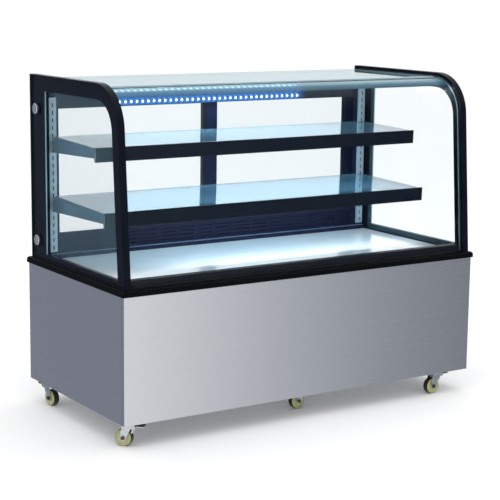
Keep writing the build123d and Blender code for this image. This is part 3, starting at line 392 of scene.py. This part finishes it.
STEEL_GRAIN = (2.0, 2.0, 420.0)
HEADER_TONES = (0.008, 0.013, 0.024), (0.012, 0.02, 0.034)
BAR_TONES = (0.02, 0.06, 0.19), (0.03, 0.08, 0.24)
# tones of the curved band by height: a painted reflection, dark teal low down and lighter towards the top
BORDER_PAINTED_REFLECTION_TONES = (
    BORDER_BOTTOM,
    1.1827,
    (
        (0.0, (0.012, 0.055, 0.1)),
        (0.5, (0.03, 0.11, 0.16)),
        (0.8, (0.14, 0.28, 0.33)),
        (1.0, (0.36, 0.46, 0.48)),
    ),
)

MATERIAL = {
    "steel": brushed_steel("brushed_stainless_steel", STEEL_GRAIN, 0.65),
    # rear panel: the same stainless painted darker, painted shade
    "steel_rear_painted_shade": brushed_steel("brushed_stainless_rear_painted_shade", STEEL_GRAIN, 0.56),
    "trim": coated(
        "dark_bullnose_trim", (0.0018, 0.0021, 0.0029), (0.0033, 0.0037, 0.0046), (0.36, 0.5),
        700.0, 0.2, spec=0.035,
    ),
    "black": coated(
        "black_powder_coat", (0.003, 0.0065, 0.0145), (0.005, 0.0095, 0.02), (0.36, 0.5), 800.0,
        0.3, spec=0.06,
    ),
    "frit": coated(
        "black_glass_print", (0.002, 0.0035, 0.009), (0.0035, 0.0055, 0.013), (0.26, 0.38), 1200.0,
        0.1, spec=0.06,
    ),
    "kerb": coated(
        "black_air_kerb", (0.004, 0.005, 0.01), (0.007, 0.009, 0.016), (0.35, 0.5), 900.0, 0.2,
        spec=0.15,
    ),
    "duct": coated(
        "navy_duct_coat", (0.004, 0.006, 0.022), (0.008, 0.011, 0.034), (0.34, 0.5), 800.0, 0.25,
        spec=0.12,
    ),
    # top edge of the kick strip, coloured bright bluish
    "lip": coated(
        "bright_bluish_lip", (0.16, 0.24, 0.36), (0.24, 0.34, 0.48), (0.3, 0.42), 500.0, 0.15,
        metal=0.3, spec=0.4,
    ),
    "anodised": coated(
        "dark_anodised_aluminium", (0.004, 0.0085, 0.027), (0.0068, 0.0142, 0.04), (0.34, 0.48),
        1000.0, 0.15, spec=0.08,
    ),
    # header: its own dark coat with the LED bar's glow painted on as emission, painted light
    "header": painted_dot_glow("header_face_painted_led_glow", HEADER_TONES, HEADER_LEDS, 0.013),
    # curved band: painted reflection tones with a row of painted LED reflections as emission
    "top_border": painted_dot_glow(
        "teal_band_painted_reflection", BORDER_PAINTED_REFLECTION_TONES, BORDER_PAINTED_LED_REFLECTIONS, 0.0045, 1.1, TEAL_PAINTED_GLOW, (0.2, 0.3), 0.07, 3.0
    ),
    "plastic": coated(
        "black_moulded_plastic", (0.012, 0.012, 0.013), (0.022, 0.022, 0.024), (0.4, 0.55), 600.0,
        0.5, spec=0.35,
    ),
    "pan": coated(
        "white_gloss_deck", (0.79, 0.82, 0.83), (0.86, 0.88, 0.885), (0.08, 0.16), 300.0, 0.05,
        coat=0.6,
    ),
    "foam": coated("foam_insulation", (0.7, 0.66, 0.5), (0.8, 0.77, 0.62), (0.7, 0.85), 160.0, 0.8),
    "glass": glazing("clear_glass", (0.985, 0.995, 0.995), mirror=(0.5, 0.55, 0.6), ior=1.16),
    "roof_glass": glazing(
        "roof_glass", (0.93, 0.98, 0.99), 0.14, (0.6, 0.76, 0.82), mirror=(0.8, 0.88, 0.9),
        ior=1.16,
    ),
    "side_glass": glazing("side_unit_glass", (1, 1, 1), mirror=(0.3, 0.35, 0.4), ior=1.1),
    "inner_pane": glazing(
        "side_unit_inner_pane", (1, 1, 1), 0.032, (0.5, 0.85, 1.0), mirror=(0.3, 0.35, 0.4),
        ior=1.1, masked=True,
    ),
    "door_glass": glazing("door_glass", (0.98, 0.99, 0.995), 0.01, mirror=(0.6, 0.6, 0.6), ior=1.25),
    "shelf_glass": glazing("shelf_glass", (0.7, 0.88, 0.96), 0.12, (0.36, 0.67, 0.86), ior=1.4),
    "glass_edge": glass_edge("ground_glass_edge", (0.1, 0.2, 0.24)),
    # a lighter copy of the glass edge, painted light; used on the roof's front edges and the spacer bars
    "glass_edge_painted_light": glass_edge("ground_glass_edge_painted_light", (0.25, 0.46, 0.5)),
    "silver": bare_metal("satin_silver_bolt", (0.6, 0.64, 0.7), (0.68, 0.72, 0.77), (0.22, 0.3), 60.0),
    "zinc": bare_metal("zinc_plate", (0.38, 0.42, 0.45), (0.6, 0.63, 0.66), (0.25, 0.42), 70.0),
    "axle": bare_metal("dark_axle_steel", (0.05, 0.055, 0.06), (0.11, 0.115, 0.12), (0.35, 0.5), 200.0),
    "galvanised": bare_metal(
        "galvanised_sheet", (0.4, 0.41, 0.42), (0.58, 0.59, 0.6), (0.35, 0.5), 40.0
    ),
    # shelf brackets and rail ends: dark grey metal coloured blue-grey, a painted reflection of the side
    # glass's pale veil
    "bracket": coated(
        "dark_bracket_painted_blue_veil", (0.045, 0.1, 0.16), (0.07, 0.15, 0.22), (0.34, 0.46), 700.0, 0.2,
        metal=0.2, spec=0.4,
    ),
    "standard": coated(
        "slotted_standard_coat", (0.3, 0.41, 0.48), (0.42, 0.54, 0.61), (0.3, 0.45), 80.0, 0.2,
        metal=0.3,
    ),
    "cream": coated(
        "cream_wheel_plastic", (0.36, 0.36, 0.17), (0.47, 0.46, 0.24), (0.35, 0.5), 300.0, 0.3
    ),
    "tread": coated(
        "black_tread_rubber", (0.01, 0.011, 0.008), (0.02, 0.022, 0.016), (0.6, 0.8), 500.0, 0.6,
        spec=0.3,
    ),
    "rubber": coated(
        "black_rubber", (0.005, 0.005, 0.006), (0.01, 0.01, 0.012), (0.55, 0.7), 500.0, 0.5,
        spec=0.2,
    ),
    "silicone": coated("grey_silicone", (0.14, 0.17, 0.2), (0.22, 0.25, 0.28), (0.3, 0.45), 200.0, 0.2),
    "clear_seal": coated("clear_silicone", (0.5, 0.6, 0.62), (0.62, 0.7, 0.72), (0.25, 0.4), 200.0, 0.2),
    "black_seal": coated(
        "black_silicone", (0.004, 0.005, 0.008), (0.008, 0.01, 0.014), (0.3, 0.45), 200.0, 0.2,
        spec=0.2,
    ),
    "fins": finned("aluminium_fins", (0.25, 0.26, 0.28), (0.75, 0.76, 0.78), 0.003),
    "enamel": coated(
        "black_enamel", (0.01, 0.01, 0.011), (0.018, 0.018, 0.02), (0.12, 0.25), 120.0, 0.15,
        coat=0.5,
    ),
    "copper": bare_metal("drawn_copper", (0.6, 0.28, 0.16), (0.78, 0.42, 0.26), (0.25, 0.45), 50.0),
    # light bar body: the LEDs' glow painted on as emission, painted light
    "bar": painted_dot_glow("light_bar_body_painted_glow", BAR_TONES, HEADER_LEDS, 0.006),
    "smoked": coated(
        "smoked_display_window", (0.004, 0.0015, 0.001), (0.007, 0.003, 0.002), (0.05, 0.12),
        200.0, 0.02, coat=0.5,
    ),
    "led": glow("led_lens", (0.8, 0.9, 1.0), 6.0),
    "led_shelf": glow("shelf_led_lens", (0.8, 0.93, 1.0), 6.0),
    "red_lens": coated(
        "red_rocker_lens", (0.35, 0.015, 0.01), (0.5, 0.03, 0.02), (0.15, 0.25), 300.0, 0.05,
        coat=0.6,
    ),
    "green_lens": coated(
        "green_rocker_lens", (0.01, 0.25, 0.04), (0.02, 0.36, 0.07), (0.15, 0.25), 300.0, 0.05,
        coat=0.6,
    ),
}


def paint(node, *names):
    """Gives a CAD node its materials; the first is the main one."""
    mesh = NODES[node].data
    mesh.materials.clear()
    for name in names:
        mesh.materials.append(MATERIAL[name])
    for polygon in mesh.polygons:
        polygon.material_index = 0


def paint_where(node, index, test):
    """Gives the faces that pass test(centre, normal) the node's material number index."""
    for polygon in NODES[node].data.polygons:
        if test(polygon.center, polygon.normal):
            polygon.material_index = index


# ------------------------------------------------------------------ geometry helpers
def finish_mesh(name, bm, material, body):
    """Makes a piece from a bmesh, smooth but for its sharp edges, and ties it to its body."""
    mesh = bpy.data.meshes.new(name)
    bm.to_mesh(mesh)
    bm.free()
    mesh.materials.append(MATERIAL[material])
    piece = bpy.data.objects.new(name, mesh)
    bpy.context.scene.collection.objects.link(piece)
    for polygon in mesh.polygons:
        polygon.use_smooth = True
    mesh.set_sharp_from_angle(angle=SHARP_ANGLE)
    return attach(piece, body)


def add_block(bm, lo, hi, bevel):
    """A block with rounded edges between two corners."""
    made = bmesh.ops.create_cube(bm, size=1.0)
    size = [hi[i] - lo[i] for i in range(3)]
    for v in made["verts"]:
        v.co = Vector([(lo[i] + hi[i]) / 2 + v.co[i] * size[i] for i in range(3)])
    edges = list({e for v in made["verts"] for e in v.link_edges})
    bmesh.ops.bevel(bm, geom=edges, offset=bevel, segments=2, affect="EDGES", profile=0.5)


def block(name, lo, hi, material, bevel=0.0005):
    bm = bmesh.new()
    add_block(bm, lo, hi, bevel)
    return finish_mesh(name, bm, material, CABINET)


def add_turned(bm, profile, matrix, sides):
    """Revolves a (radius, height) profile about local Z, closing it where the radius is 0."""
    rings = []
    for radius, height in profile:
        if radius < 1e-6:
            rings.append([bm.verts.new(matrix @ Vector((0, 0, height)))])
            continue
        ring = []
        for i in range(sides):
            a = 2 * math.pi * i / sides
            ring.append(bm.verts.new(matrix @ Vector((radius * math.cos(a), radius * math.sin(a), height))))
        rings.append(ring)
    for low, high in zip(rings, rings[1:]):
        for i in range(sides):
            j = (i + 1) % sides
            if len(low) == 1:
                bm.faces.new((low[0], high[i], high[j]))
            elif len(high) == 1:
                bm.faces.new((low[i], low[j], high[0]))
            else:
                bm.faces.new((low[i], low[j], high[j], high[i]))


def facing(point, direction):
    """Matrix that puts local Z along direction at point."""
    return Matrix.Translation(point) @ Vector(direction).to_track_quat("Z", "Y").to_matrix().to_4x4()


def bead(name, points, radius, material, sides=8):
    """Round bead along a path, with closed ends."""
    points = [Vector(p) for p in points]
    bm = bmesh.new()
    rings = []
    for i, p in enumerate(points):
        along = (points[min(i + 1, len(points) - 1)] - points[max(i - 1, 0)]).normalized()
        side = along.cross(Vector((1, 0, 0)) if abs(along.x) < 0.9 else Vector((0, 0, 1))).normalized()
        up = along.cross(side)
        turns = [2 * math.pi * k / sides for k in range(sides)]
        ring = [p + side * radius * math.cos(a) + up * radius * math.sin(a) for a in turns]
        rings.append([bm.verts.new(v) for v in ring])
    for a, b in zip(rings, rings[1:]):
        for k in range(sides):
            m = (k + 1) % sides
            bm.faces.new((a[k], a[m], b[m], b[k]))
    bm.faces.new(list(reversed(rings[0])))
    bm.faces.new(rings[-1])
    bmesh.ops.recalc_face_normals(bm, faces=bm.faces)
    return finish_mesh(name, bm, material, CABINET)


# ------------------------------------------------------------------ CAD nodes: finishes
PLAIN_NODES = {
    "steel": ("front_panel", "left_side_panel", "right_side_panel"),
    "steel_rear_painted_shade": ("rear_louvre_panel",),
    "galvanised": ("chassis_frame", "condenser_shroud", "blower_housing"),
    "trim": ("deck_trim",),
    "foam": ("insulated_tub",),
    "pan": ("deck_pan",),
    "kerb": ("front_glass_rail",),
    "plastic": (
        "cable_gland",
        "condenser_fan",
        "blower_rotor",
        "drain_tray",
        "thermostat",
        "switch_bezels",
    ),
    "black": ("upper_shelf_rail", "lower_shelf_rail"),
    "anodised": ("rear_posts", "rear_sill"),
    "bracket": ("shelf_brackets",),
    "standard": ("shelf_standards",),
    "bar": ("led_strips",),
    "fins": ("condenser_coil", "evaporator_coil"),
    "enamel": ("compressor",),
    "copper": ("refrigerant_pipes",),
    "green_lens": ("power_rocker",),
    "red_lens": ("light_rocker",),
    "zinc": ("caster_plates",),
}
for material, nodes in PLAIN_NODES.items():
    for node in nodes:
        paint(node, material)
paint("rear_duct", "duct", "lip")
paint_where(
    "rear_duct",
    1,
    lambda c, n: n.z > 0.7 and KICK_LIP_Z[0] < c.z < KICK_LIP_Z[1] and c.y < KICK_LIP_REAR,
)
for side in ("left", "right"):
    paint(f"{side}_glazing_frame", "frit")
    paint(f"{side}_side_glass", "side_glass", "black_seal", "inner_pane")
    paint_where(f"{side}_side_glass", 2, lambda c, n: abs(c.x) < INNER_PANE_X)
    paint_where(f"{side}_side_glass", 1, lambda c, n: abs(n.x) < 0.5)
    paint(f"{side}_door_frame", "anodised")
    paint(f"{side}_door_glass", "door_glass", "glass_edge")
    paint_where(f"{side}_door_glass", 1, lambda c, n: abs(n.y) < 0.5)
paint("front_glass", "glass", "glass_edge")
paint_where("front_glass", 1, lambda c, n: abs(n.x) > 0.5)
# the roof's edges take the lighter glass edge: painted light
paint("roof_glass", "roof_glass", "glass_edge_painted_light")
paint_where("roof_glass", 1, lambda c, n: abs(n.z) < 0.5)
for level in ("upper", "lower"):
    paint(f"{level}_shelf_glass", "shelf_glass", "glass_edge")
    paint_where(f"{level}_shelf_glass", 1, lambda c, n: abs(n.z) < 0.5)
# the header's front face takes the painted LED glow
paint("rear_header", "anodised", "header")
paint_where("rear_header", 1, lambda c, n: n.y < -0.5 and c.y < HEADER_LOW.y + 0.002)
paint("glass_bolts", "silver", "rubber")
WASHER_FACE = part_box("right_side_glass")[1].x + WASHER_THICK
SLACK = 0.0001
WASHER_BACK = WASHER_FACE - WASHER_THICK
paint_where("glass_bolts", 1, lambda c, n: WASHER_BACK - SLACK < abs(c.x) < WASHER_FACE + SLACK)
CASTERS = [name[: -len("_caster_wheel")] for name in NODES if name.endswith("_caster_wheel")]
for name in CASTERS:
    paint(f"{name}_caster_fork", "zinc", "axle")
    paint(f"{name}_caster_wheel", "cream", "tread", "axle")
    low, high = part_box(f"{name}_caster_wheel")
    hub = (low + high) / 2
    roll = next(j for j in frame["joints"] if j["name"] == f"{name}_roll")
    axle = Vector(roll["axis"])

    def from_axle(centre, hub=hub, axle=axle):
        out = centre - hub
        return (out - axle * out.dot(axle)).length

    def on_tread(centre, normal, axle=axle, from_axle=from_axle):
        return from_axle(centre) > TREAD_RADIUS and abs(normal.dot(axle)) < 0.9

    def on_axle(centre, normal, from_axle=from_axle):
        return from_axle(centre) < AXLE_RADIUS

    paint_where(f"{name}_caster_wheel", 1, on_tread)
    paint_where(f"{name}_caster_wheel", 2, on_axle)
    paint_where(f"{name}_caster_fork", 1, on_axle)
    if f"{name}_brake_pedal" in NODES:
        paint(f"{name}_brake_pedal", "zinc", "plastic")
        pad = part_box(f"{name}_brake_pedal")[1].z - PEDAL_PAD
        paint_where(f"{name}_brake_pedal", 1, lambda c, n, pad=pad: c.z > pad)


# ------------------------------------------------------------------ light dots and lenses
def light_dots(name, centres, direction, radius, material):
    """A row of small domed lenses, facing a direction."""
    bm = bmesh.new()
    dome = [(radius * math.cos(a), radius * 0.5 * math.sin(a)) for a in (0, 0.4, 0.8, 1.2)]
    dome.append((0, radius * 0.5))
    for centre in centres:
        add_turned(bm, dome, facing(centre, direction), 10)
    return finish_mesh(name, bm, material, CABINET)


BAR_FRONT = HEADER_LOW.y - 0.007
count = round((HEADER_LEDS[1] - HEADER_LEDS[0]) / LED_PITCH) + 1
top_dots = [Vector((HEADER_LEDS[0] + i * LED_PITCH, BAR_FRONT, HEADER_LEDS[2])) for i in range(count)]
light_dots("header_led_lenses", top_dots, (0, -1, 0), HEADER_LENS_RADIUS, "led")
for level in ("upper", "lower"):
    y, z = on_shelf(level, 0.0072, 0.016)
    dots = [Vector((SHELF_LED_FIRST + i * LED_PITCH, y, z)) for i in range(SHELF_LED_COUNT)]
    light_dots(f"{level}_shelf_led_lenses", dots, (0, 0.25, -1), SHELF_LENS_RADIUS, "led_shelf")


# ------------------------------------------------------------------ shelf ends
def prism_x(name, outline, x0, x1, material):
    """A thin plate across X from a (y, z) outline, with its rim slightly rounded."""
    bm = bmesh.new()
    near = [bm.verts.new((x0, y, z)) for y, z in outline]
    far = [bm.verts.new((x1, y, z)) for y, z in outline]
    bm.faces.new(near)
    bm.faces.new(list(reversed(far)))
    for i in range(len(outline)):
        j = (i + 1) % len(outline)
        bm.faces.new((near[j], near[i], far[i], far[j]))
    bmesh.ops.recalc_face_normals(bm, faces=bm.faces)
    bmesh.ops.bevel(bm, geom=list(bm.edges), offset=0.0002, segments=2, affect="EDGES", profile=0.5)
    return finish_mesh(name, bm, material, CABINET)


for level in ("upper", "lower"):
    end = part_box(f"{level}_shelf_rail")[1].x
    corners = [on_shelf(level, *at) for at in RAIL_END]
    for sign, side in ((-1, "left"), (1, "right")):
        x0, x1 = sorted((sign * (end + 0.0001), sign * (end + 0.0012)))
        prism_x(f"{level}_{side}_rail_end", corners, x0, x1, "bracket")

# ------------------------------------------------------------------ seals
for sign, side in ((-1, "left"), (1, "right")):
    x = sign * (FRONT_HIGH.x + 0.0005)
    path = front_curve(FRONT_SEAL_INSET, TRIM_HIGH.z + 0.002, ROOF_HIGH.y - 0.002)
    bead(f"{side}_front_glass_seal", [(x, y, z) for y, z in path], FRONT_SEAL_RADIUS, "black_seal")
ends = [(x, ROOF_LOW.y, ROOF_HIGH.z - 0.0008) for x in (-ROOF_SEAL_HALF, ROOF_SEAL_HALF)]
bead("roof_joint_seal", ends, 0.0013, "clear_seal")
foot_y = front_y(TRIM_HIGH.z, 0.0135)
ends = [(x, foot_y, TRIM_HIGH.z + 0.001) for x in (-FOOT_SEAL_HALF, FOOT_SEAL_HALF)]
bead("front_glass_foot_seal", ends, 0.0024, "black_seal")

for sign, side in ((-1, "left"), (1, "right")):
    x0, x1 = sorted(sign * x for x in SPACER_X)
    low, high = TRIM_HIGH.z + 0.0245, UNIT_HIGH.z - BAND_TOP - 0.0005
    # spacer bars in the lighter glass edge: painted light
    block(
        f"{side}_spacer_bar", (x0, SPACER_Y[0], low), (x1, SPACER_Y[1], high), "glass_edge_painted_light", bevel=0.0003
    )


# ------------------------------------------------------------------ dark teal band inside the curved glass: a painted reflection
def curved_strip(name, inset, thick, bottom, stop_angle, half, material):
    """A thin sheet across X that follows the glass curve from a height to an angle up the arc."""
    skins = []
    for depth in (inset, inset + thick):
        radius, middle_y, middle_z, _ = curve_centre(depth)
        start = math.asin((bottom - middle_z) / radius)
        turns = [start + (stop_angle - start) * i / 16 for i in range(17)]
        skins.append([(middle_y - radius * math.cos(a), middle_z + radius * math.sin(a)) for a in turns])
    bm = bmesh.new()
    rings = []
    for (y0, z0), (y1, z1) in zip(*skins):
        corners = ((-half, y0, z0), (half, y0, z0), (half, y1, z1), (-half, y1, z1))
        rings.append([bm.verts.new(v) for v in corners])
    for a, b in zip(rings, rings[1:]):
        for k in range(4):
            m = (k + 1) % 4
            bm.faces.new((a[k], a[m], b[m], b[k]))
    bm.faces.new(rings[0])
    bm.faces.new(list(reversed(rings[-1])))
    bmesh.ops.recalc_face_normals(bm, faces=bm.faces)
    return finish_mesh(name, bm, material, CABINET)


# this sheet is a painted reflection: dark teal, lighter towards the top, with painted reflections of the
# LED row
curved_strip(
    "front_glass_painted_reflection_band",
    BORDER_INSET,
    BORDER_THICK,
    BORDER_BOTTOM,
    BORDER_STOP,
    BORDER_HALF,
    "top_border",
)

# ------------------------------------------------------------------ fixings and door details
SCREW_HEAD = ((0.0046, 0.0), (0.0046, 0.0007), (0.0038, 0.0018), (0.0016, 0.0022))
SCREW_RECESS = ((0.0013, 0.001), (0.0, 0.001))


def add_turned_set(name, profile, places, sides, material):
    """The same turned piece at each place, facing +Y."""
    bm = bmesh.new()
    for place in places:
        add_turned(bm, profile, facing(Vector(place), (0, 1, 0)), sides)
    return finish_mesh(name, bm, material, CABINET)


edge_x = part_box("rear_louvre_panel")[1].x - SCREW_MARGIN_X
PANEL_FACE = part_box("switch_bezels")[1].y - 0.002
rows = (PANEL_LOW.z + SCREW_MARGIN_Z, (PANEL_LOW.z + PANEL_HIGH.z) / 2, PANEL_HIGH.z - SCREW_MARGIN_Z)
spots = [(x, PANEL_FACE, z) for z in rows for x in (-edge_x, -edge_x / 3, edge_x / 3, edge_x)]
spots = [p for p in spots if abs(p[0]) > edge_x * 0.9 or p[2] != rows[1]]
add_turned_set("rear_panel_screws", SCREW_HEAD + SCREW_RECESS, spots, 14, "silver")

for side in ("left", "right"):
    glass_low, glass_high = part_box(f"{side}_door_glass")
    bm = bmesh.new()
    x0, x1 = glass_low.x + GASKET_INSET, glass_high.x - GASKET_INSET
    z0, z1 = glass_low.z + GASKET_INSET, glass_high.z - GASKET_INSET
    for y0, y1 in ((glass_low.y - GASKET_THICK, glass_low.y), (glass_high.y, glass_high.y + GASKET_THICK)):
        add_block(bm, (x0, y0, z0), (x0 + GASKET_WIDTH, y1, z1), GASKET_ROUND)
        add_block(bm, (x1 - GASKET_WIDTH, y0, z0), (x1, y1, z1), GASKET_ROUND)
        add_block(bm, (x0, y0, z0), (x1, y1, z0 + GASKET_WIDTH), GASKET_ROUND)
        add_block(bm, (x0, y0, z1 - GASKET_WIDTH), (x1, y1, z1), GASKET_ROUND)
    finish_mesh(f"{side}_door_gaskets", bm, "rubber", f"{side}_door")

THERMO_LOW, THERMO_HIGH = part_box("thermostat")
mid_x, mid_z = (THERMO_LOW.x + THERMO_HIGH.x) / 2, (THERMO_LOW.z + THERMO_HIGH.z) / 2
face = THERMO_HIGH.y - 0.001
low = (mid_x + WINDOW_LOW[0], face + 0.0001, mid_z + WINDOW_LOW[1])
high = (mid_x + WINDOW_HIGH[0], face + 0.0008, mid_z + WINDOW_HIGH[1])
block("thermostat_window", low, high, "smoked")
spots = []
for i in range(4):
    x = mid_x + BUTTON_FIRST[0] + BUTTON_STEP[0] * (i % 2)
    z = mid_z + BUTTON_FIRST[1] + BUTTON_STEP[1] * (i // 2)
    spots.append((x, THERMO_HIGH.y, z))
add_turned_set("thermostat_buttons", BUTTON, spots, 16, "silicone")

# ------------------------------------------------------------------ camera
FOCAL_PX, FRAME_PX, SENSOR_MM = 1489.0, 500.0, 36.0
PITCH, YAW, ROLL = math.radians(10.27), math.radians(33.185), math.radians(0.69)
EYE = Vector((-2.995, -4.552, 1.5424))
ahead = Vector((math.sin(YAW) * math.cos(PITCH), math.cos(YAW) * math.cos(PITCH), -math.sin(PITCH)))
level_right = Vector((math.cos(YAW), -math.sin(YAW), 0.0))
level_up = level_right.cross(ahead)
right = level_right * math.cos(ROLL) + level_up * math.sin(ROLL)
up = level_up * math.cos(ROLL) - level_right * math.sin(ROLL)
lens = bpy.data.cameras.new("camera")
lens.sensor_width = SENSOR_MM
lens.lens = FOCAL_PX / FRAME_PX * SENSOR_MM
camera = bpy.data.objects.new("camera", lens)
turn = Matrix((right, up, -ahead)).transposed().to_4x4()
camera.matrix_world = Matrix.Translation(EYE) @ turn
bpy.context.scene.collection.objects.link(camera)
bpy.context.scene.camera = camera

# ------------------------------------------------------------------ studio
scene = bpy.context.scene
scene.view_settings.view_transform = "Standard"

floor_bm = bmesh.new()
bmesh.ops.create_grid(floor_bm, x_segments=2, y_segments=2, size=40.0)
floor_mesh = bpy.data.meshes.new("studio_floor")
floor_bm.to_mesh(floor_mesh)
floor_bm.free()
floor = bpy.data.objects.new("studio_floor", floor_mesh)
bpy.context.scene.collection.objects.link(floor)
floor_nodes = Nodes("pale_floor")
floor_tone = floor_nodes.ramp(floor_nodes.noise(0.8, 2.0), (0.3, (0.93,) * 3), (0.7, (0.95,) * 3))
floor_nodes.principled(floor_tone, 0.9)
floor_mesh.materials.append(floor_nodes.material)
floor.visible_glossy = False

world = bpy.data.worlds.new("studio")
scene.world = world
world.use_nodes = True
tree = world.node_tree
tree.nodes.clear()


def world_node(kind, **settings):
    node = tree.nodes.new(kind)
    for key, value in settings.items():
        setattr(node, key, value)
    return node


def sector(direction, stops):
    """Brightness by how far a ray's compass heading is from a direction."""
    coord = world_node("ShaderNodeTexCoord")
    flat = world_node("ShaderNodeVectorMath", operation="MULTIPLY")
    flat.inputs[1].default_value = (1, 1, 0)
    unit = world_node("ShaderNodeVectorMath", operation="NORMALIZE")
    dot = world_node("ShaderNodeVectorMath", operation="DOT_PRODUCT")
    dot.inputs[1].default_value = Vector(direction).normalized()
    ramp = world_node("ShaderNodeValToRGB")
    tree.links.new(coord.outputs["Generated"], flat.inputs[0])
    tree.links.new(flat.outputs[0], unit.inputs[0])
    tree.links.new(unit.outputs[0], dot.inputs[0])
    tree.links.new(dot.outputs["Value"], ramp.inputs["Fac"])
    set_stops(ramp, stops)
    return ramp.outputs["Color"]


def heading(degrees):
    """Direction at that many degrees from -Y towards +X."""
    a = math.radians(degrees)
    return (math.sin(a), -math.cos(a), 0.0)


def blend_colours(kind, factor, a, b):
    node = world_node("ShaderNodeMix", data_type="RGBA", blend_type=kind)
    if isinstance(factor, float):
        node.inputs["Factor"].default_value = factor
    else:
        tree.links.new(factor, node.inputs["Factor"])
    for socket, value in zip([s for s in node.inputs if s.type == "RGBA"], (a, b)):
        if isinstance(value, tuple):
            socket.default_value = value
        else:
            tree.links.new(value, socket)
    return [s for s in node.outputs if s.type == "RGBA"][0]


WHITE = (1.0, 1.0, 1.0)
front_right = sector(
    heading(52),
    [(0.80, WHITE), (0.914, WHITE), (0.975, (0.28, 0.295, 0.33)), (1.0, (0.1, 0.105, 0.125))],
)
back_left = sector(heading(-152), [(0.70, WHITE), (0.93, (0.3, 0.31, 0.36)), (1.0, (0.225, 0.24, 0.285))])
back_right = sector(heading(145), [(0.76, WHITE), (0.92, (0.56, 0.57, 0.6)), (1.0, (0.44, 0.45, 0.48))])
height = world_node("ShaderNodeSeparateXYZ")
tree.links.new(world_node("ShaderNodeTexCoord").outputs["Generated"], height.inputs[0])


def white_above(colour, start, stop):
    """The colour below a height of the sky, passing to white between start and stop."""
    band = world_node("ShaderNodeMapRange")
    band.inputs["From Min"].default_value = start
    band.inputs["From Max"].default_value = stop
    tree.links.new(height.outputs["Z"], band.inputs["Value"])
    return blend_colours("MIX", band.outputs["Result"], colour, (1.0, 1.0, 1.0, 1.0))


sides = white_above(blend_colours("MULTIPLY", 1.0, front_right, back_left), 0.3, 0.6)
sky = blend_colours("MULTIPLY", 1.0, sides, white_above(back_right, -0.06, 0.02))
studio = world_node("ShaderNodeBackground")
tree.links.new(sky, studio.inputs["Color"])
studio.inputs["Strength"].default_value = WORLD_STRENGTH
plain = world_node("ShaderNodeBackground")
plain.inputs["Color"].default_value = (1, 1, 1, 1)
seen = world_node("ShaderNodeLightPath")
choose = world_node("ShaderNodeMixShader")
tree.links.new(seen.outputs["Is Camera Ray"], choose.inputs[0])
tree.links.new(studio.outputs[0], choose.inputs[1])
tree.links.new(plain.outputs[0], choose.inputs[2])
world_out = world_node("ShaderNodeOutputWorld")
tree.links.new(choose.outputs[0], world_out.inputs["Surface"])


def area(name, place, aim, size, power, colour=(1, 1, 1)):
    light = bpy.data.lights.new(name, "AREA")
    light.shape = "RECTANGLE"
    light.size, light.size_y = size
    light.energy = power
    light.color = colour
    lamp = bpy.data.objects.new(name, light)
    lamp.location = place
    lamp.rotation_mode = "QUATERNION"
    lamp.rotation_quaternion = (Vector(aim) - Vector(place)).to_track_quat("-Z", "Y")
    bpy.context.scene.collection.objects.link(lamp)
    return lamp


area("overhead_softbox", (0.0, -0.5, 4.0), (0, 0, 0), (5.0, 5.0), 40.0)
COOL = (0.8, 0.91, 1.0)
area("header_glow", (0.0, BAR_FRONT - 0.004, HEADER_LEDS[2]), (0.0, -0.2, 0.7), (0.82, 0.012), 3.0, COOL)
for level in ("upper", "lower"):
    y, z = on_shelf(level, 0.012, 0.02)
    x, length, power = (0.0, 1.3, 2.0) if level == "upper" else (0.12, 1.0, 2.6)
    area(f"{level}_shelf_glow", (x, y, z), (x, y + 0.07, z - 0.28), (length, 0.008), power, COOL)
